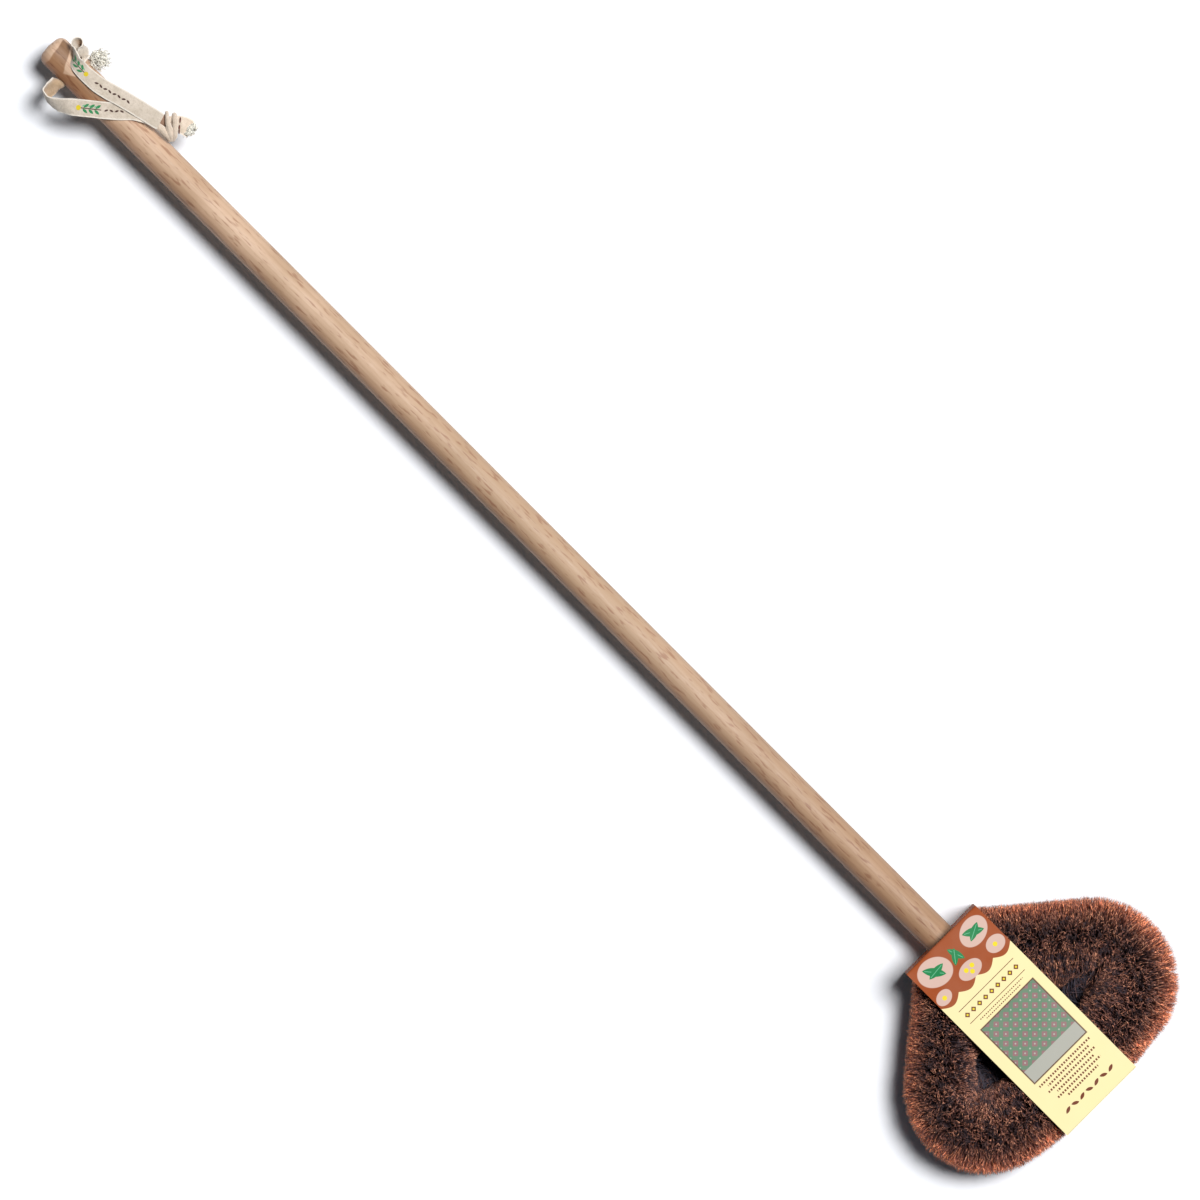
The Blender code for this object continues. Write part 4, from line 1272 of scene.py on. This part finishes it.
def makeCotton(name, sprig=None, leaves=None, tintStretch=None, tint=(1, 1, 1), rim=(0.0, 0.3)):
    material, tree, shader = newMaterial(name, Roughness=0.85)
    shader.inputs["Sheen Weight"].default_value = 0.25
    uv = uvPlace(tree, "cloth")
    split = splitOf(tree, uv)
    place = objectPlace(tree)
    cloth = useGroup(tree, weave, {"Vector": uv, "Stripe": 3.05, "Thread": 0.6})
    tones = tonesAt(tree, place, 160.0, 1800.0)
    slub = tonesAt(tree, place, 420.0, 800.0)
    away = calc(tree, "ABSOLUTE", calc(tree, "SUBTRACT", split[0], tape["width"] / 2))
    colour = blendColour(tree, tones["Patch"], linear(tape["mid"]), linear(tape["pale"]))
    for mask, ink in (
        (times(tree, cloth["Gap"], 0.55), "dark"),
        (times(tree, slub["Patch"], slub["Grain"], 0.34), "dark"),
        # pale selvages: painted highlight along both edges
        (times(tree, spread(tree, away, 4.9, 5.5), 0.6), "selvage"),
    ):
        colour = blendColour(tree, mask, colour, linear(tape[ink]))
    # a stretch of the tape tinted: painted shade in the bight and in the curl's hollow, or the
    # whole cloth tinted
    if tintStretch:
        begin = spread(tree, split[1], tintStretch[0] - 2, tintStretch[0] + 2)
        stop = spread(tree, split[1], tintStretch[1] + 2, tintStretch[1] - 2)
        # but for the upper selvage, which the light catches
        within = times(tree, begin, stop, spread(tree, split[0], *rim))
        colour = blendColour(tree, within, colour, tinted(tree, colour, tint))
    prints = []
    centre = tape["width"] / 2
    if sprig:
        prints.append(((centre, sprig - 1.3), (0.34, 7.6), 0, "Box", "brown"))
        for k in range(3):
            at = sprig - 6.6 + 4.2 * k
            prints.append(((4.2, at), (2.3, 2.3), 52, "Leaf", "green"))
            prints.append(((8.0, at + 0.6), (2.3, 2.3), 128, "Leaf", "green"))
            prints.append(((4.3, at + 1.9), (1.2, 1.2), 60, "Leaf", "leafPale"))
        prints.append(((centre, sprig + 7.2), (1.9, 1.7), 0, "Disc", "yellow"))
    if leaves:
        for k in range(leaves[1]):
            turn = 90 + 24 * (-1) ** k
            prints.append(((centre, leaves[0] + 3.7 * k), (1.6, 1.6), turn, "Leaf", "brown"))
    fade = spread(tree, tones["Grain"], -0.7, 0.2)
    for centre, size, turn, shape, ink in prints:
        mask = stampAt(tree, uv, centre, size, turn, 0.42)[shape]
        colour = blendColour(tree, times(tree, mask, fade), colour, linear(tape[ink]))
    height = plus(tree, cloth["Height"], times(tree, slub["Grain"], 0.8))
    finishLook(tree, shader, colour, tape, tones["Grain"], height)
    return material


upperCotton = makeCotton("cotton_tape_upper", **tape["upperPrint"])
lowerCotton = makeCotton("cotton_tape_lower", **tape["lowerPrint"])
plainCotton = makeCotton("cotton_tape", tintStretch=(-9, 999), tint=(1.16, 1.10, 1.06))
shadeCotton = makeCotton("cotton_tape_shade", tintStretch=(-9, 999), tint=(0.46, 0.31, 0.25))


def makeTape():
    dress = (upperCotton, lowerCotton)
    ribbon, length = makeRibbon("hanging_tape", tapeRoute, tape["width"], dress, tape["edgeWave"])
    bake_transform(ribbon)
    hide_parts("hang_tape_fold", "hang_tape_lower", "hang_tape_upper")


makeTape()
print("scene: hanging tape")


# knot in the tape's ends: folds over a shaded bundle, then the flat tail
knot = dict(
    foldWidth=9.5,
    tailWidth=12.2,
    tailWave=0.3,
)
# mm from the hole's middle, laid out as the tape's route
knotBody = [
    (62.0, 15.0, 9.0, 0.10, -0.99, 0.00, 0.80, 60),
    (68.0, 18.0, 9.6, 0.20, -0.98, 0.00, 1.15, 80),
    (74.0, 20.0, 9.8, 0.30, -0.95, 0.00, 1.25, 90),
    (80.0, 19.0, 9.4, 0.30, -0.95, 0.00, 0.95, 90),
    (83.4, 16.6, 8.4, 0.20, -0.98, 0.00, 0.50, 90),
]
knotFolds = [
    [
        (63.0, 13.4, 10.6, -0.12, -0.99, 0.00, 0.36, 50),
        (69.0, 14.2, 12.2, -0.08, -1.00, 0.00, 0.46, 70),
        (75.0, 14.8, 12.8, -0.02, -1.00, 0.00, 0.56, 80),
        (80.0, 14.5, 11.8, 0.00, -1.00, 0.00, 0.50, 90),
        (83.8, 13.3, 9.0, 0.00, -1.00, 0.00, 0.26, 110),
    ],
    [
        (67.2, 26.0, 9.8, -0.58, -0.81, 0.10, 0.22, 70),
        (69.6, 24.2, 12.4, -0.58, -0.81, 0.10, 0.27, 70),
        (73.2, 21.3, 13.8, -0.60, -0.80, 0.05, 0.31, 60),
        (77.2, 18.8, 13.9, -0.55, -0.83, 0.00, 0.44, 60),
        (81.0, 16.4, 12.6, -0.55, -0.83, 0.00, 0.46, 70),
        (84.2, 13.9, 9.4, -0.55, -0.83, 0.00, 0.30, 90),
    ],
    [
        (71.8, 29.0, 9.4, -0.70, -0.71, 0.10, 0.32, 70),
        (74.6, 27.0, 12.2, -0.72, -0.69, 0.05, 0.36, 60),
        (78.2, 23.7, 13.6, -0.74, -0.67, 0.00, 0.36, 50),
        (81.4, 20.4, 13.4, -0.78, -0.63, 0.00, 0.36, 50),
        (83.9, 17.3, 11.6, -0.84, -0.54, 0.00, 0.34, 60),
        (84.8, 14.6, 9.0, -0.90, -0.44, 0.00, 0.24, 90),
    ],
]
knotTail = [
    (74.0, 22.0, 9.6, 0.60, -0.80, 0.00, 0.80, 30),
    (78.4, 25.4, 10.8, 0.66, -0.75, 0.00, 0.92, 25),
    (81.4, 27.0, 11.6, 0.66, -0.75, 0.00, 1.00, 18),
    (84.8, 28.3, 11.0, 0.56, -0.83, 0.00, 1.06, 20),
    (88.6, 29.2, 9.4, 0.42, -0.91, 0.00, 1.02, 45),
]


def makeKnot():
    wide = knot["foldWidth"]
    dark, light = (shadeCotton, shadeCotton), (plainCotton, plainCotton)
    parts = [makeRibbon("bundle", knotBody, wide, dark)[0]]
    for k, fold in enumerate(knotFolds):
        parts.append(makeRibbon(f"fold_{k}", fold, wide, light)[0])
    parts.append(makeRibbon("tail", knotTail, knot["tailWidth"], light, knot["tailWave"])[0])
    made = joinAll(parts, parts[-1], "tied_knot")
    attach(made, "hang_loop")
    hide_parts("tape_knot")
    return made


tiedKnot = makeKnot()
print("scene: knot")


# brown stitches through the tail, from end to end in mm from the hole
stitches = dict(
    dashes=(
        ((77.0, 30.0), (79.5, 27.0)),
        ((80.4, 25.7), (82.4, 23.4)),
        ((82.4, 23.4), (84.5, 21.0)),
    ),
    # mm over the hole that the cloth is sought from, over the cloth, past a stitch's end
    seekFrom=40,
    lift=0.25,
    past=0.2,
    thick=0.55,
    scales=(900.0, 4000.0),
    relief=(0.5, 0.0002),
    dark="3E1713",
    pale="6E3A2E",
)


def makeStitches():
    made = []
    for low, high in np.array(stitches["dashes"]):
        above = Vector((*((low + high) / 2), stitches["seekFrom"])) * mm + hole
        _, middle, _, _ = tiedKnot.ray_cast(above, Vector((0, 0, -1)))
        middle.z += stitches["lift"] * mm
        along = high - low
        selectNone()
        bpy.ops.mesh.primitive_uv_sphere_add(segments=12, ring_count=8, radius=1, location=middle)
        dash = bpy.context.object
        reach = float(np.linalg.norm(along)) / 2 + stitches["past"]
        dash.scale = (reach * mm, stitches["thick"] * mm, stitches["thick"] * mm)
        dash.rotation_euler = (0, 0, math.atan2(along[1], along[0]))
        applyPlace(dash)
        pick(dash)
        bpy.ops.object.shade_smooth()
        made.append(dash)
    thread = joinAll(made, made[0], "tail_stitches")
    thread.data.materials.append(twoTone("brown_thread", stitches, Roughness=0.75))
    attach(thread, "hang_loop")
    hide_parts("tail_thread")


makeStitches()
print("scene: stitches")


# loose cotton: curly threads at the frayed end by the hole and at the tail's fringe
fluff = dict(
    bends=8,
    thick=0.3,
    curl=0.9,
    # how the goals crowd outwards, how far the roots may stray, and the room about the tuft
    # that a thread keeps to from this share of its length
    crowd=0.4,
    stray=1.4,
    room=1.12,
    roomFrom=0.35,
    pale="FFFCF2",
    dark="E2DBCB",
    rough=(0.1, 0.82),
    # where the threads leave the cloth and how far spread, the tuft's heart and its reach, all
    # in mm from the hole, then the count and the seed
    tufts=dict(
        frayed_threads=(
            (3.0, 16.5, 3.6), (1.0, 1.6, 1.4), (8.6, 19.0, 4.6), (7.8, 7.2, 5.0), 240, 5
        ),
        tail_fringe=(
            (87.0, 28.6, 9.6), (0.8, 4.0, 0.7), (88.6, 28.6, 9.8), (3.2, 6.6, 2.8), 150, 8
        ),
    ),
)


def makeThreadShape():
    # one thread: a three-sided stick cut into even lengths
    selectNone()
    bpy.ops.mesh.primitive_cylinder_add(vertices=3, radius=1, depth=1, location=(0, 0, 0.5))
    return cutStick([k / fluff["bends"] for k in range(1, fluff["bends"])])


def makeFluff(name, shape, root, rootSpread, heart, size, count, seed):
    around, level, faces = shape
    dice = np.random.default_rng(seed)
    steps = fluff["bends"] + 1
    heart = np.array(heart, float)
    size = np.array(size, float)
    # each thread leaves the cloth's end and wanders towards a place in the tuft
    goal = dice.normal(0, 1, (count, 3))
    goal *= (dice.random(count) ** fluff["crowd"] / np.linalg.norm(goal, axis=1))[:, None]
    about = np.clip(dice.normal(0, 1, (count, 3)), -fluff["stray"], fluff["stray"])
    start = np.array(root, float) + about * np.array(rootSpread)
    goal = heart + goal * size
    t = np.linspace(0, 1, steps)[None, :, None]
    knots = start[:, None] * (1 - t) + goal[:, None] * t
    curl = np.cumsum(dice.normal(0, 1, (count, steps, 3)), axis=1)
    knots += (curl - curl[:, :1]) * fluff["curl"] * np.minimum(1, 3 * t)
    inside = (knots - heart) / (size * fluff["room"])
    far = np.linalg.norm(inside, axis=2, keepdims=True)
    outside = (t > fluff["roomFrom"]) & (far > 1)
    knots = heart + (knots - heart) / np.where(outside, far, 1)
    tangent = unit(np.gradient(knots, axis=1), 1e-9)
    side = unit(np.cross(tangent, dice.normal(0, 1, (count, 1, 3))), 1e-9)
    other = np.cross(tangent, side)
    ringOf = np.round(level * fluff["bends"]).astype(int)
    thick = fluff["thick"] * (0.6 + 0.8 * dice.random(count))[:, None, None]
    taper = np.interp(level, [0, 0.8, 1], [1, 0.9, 0.45])[None, :, None]
    ring = side[:, ringOf] * around[None, :, :1] + other[:, ringOf] * around[None, :, 1:]
    places = knots[:, ringOf] + ring * thick * taper + np.array(hole) / mm
    return sheafMesh(name, places, faces, level, dice.random(count))


def makeFluffMaterial():
    material, tree, shader = newMaterial("loose_cotton", Roughness=0.9)
    shader.inputs["Sheen Weight"].default_value = 0.3
    thread = splitOf(tree, uvPlace(tree, "fibre"))[1]
    colour = blendColour(tree, thread, linear(fluff["dark"]), linear(fluff["pale"]))
    tones = tonesAt(tree, objectPlace(tree), 300.0, 3000.0)
    finishLook(tree, shader, colour, fluff, tones["Grain"])
    return material


def makeLooseEnds():
    shape = makeThreadShape()
    material = makeFluffMaterial()
    beside, fringe = [makeFluff(name, shape, *row) for name, row in fluff["tufts"].items()]
    for tuft, body in ((beside, "brush"), (fringe, "hang_loop")):
        tuft.data.materials.append(material)
        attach(tuft, body)
    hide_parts("frayed_end")


makeLooseEnds()
print("scene: loose threads")
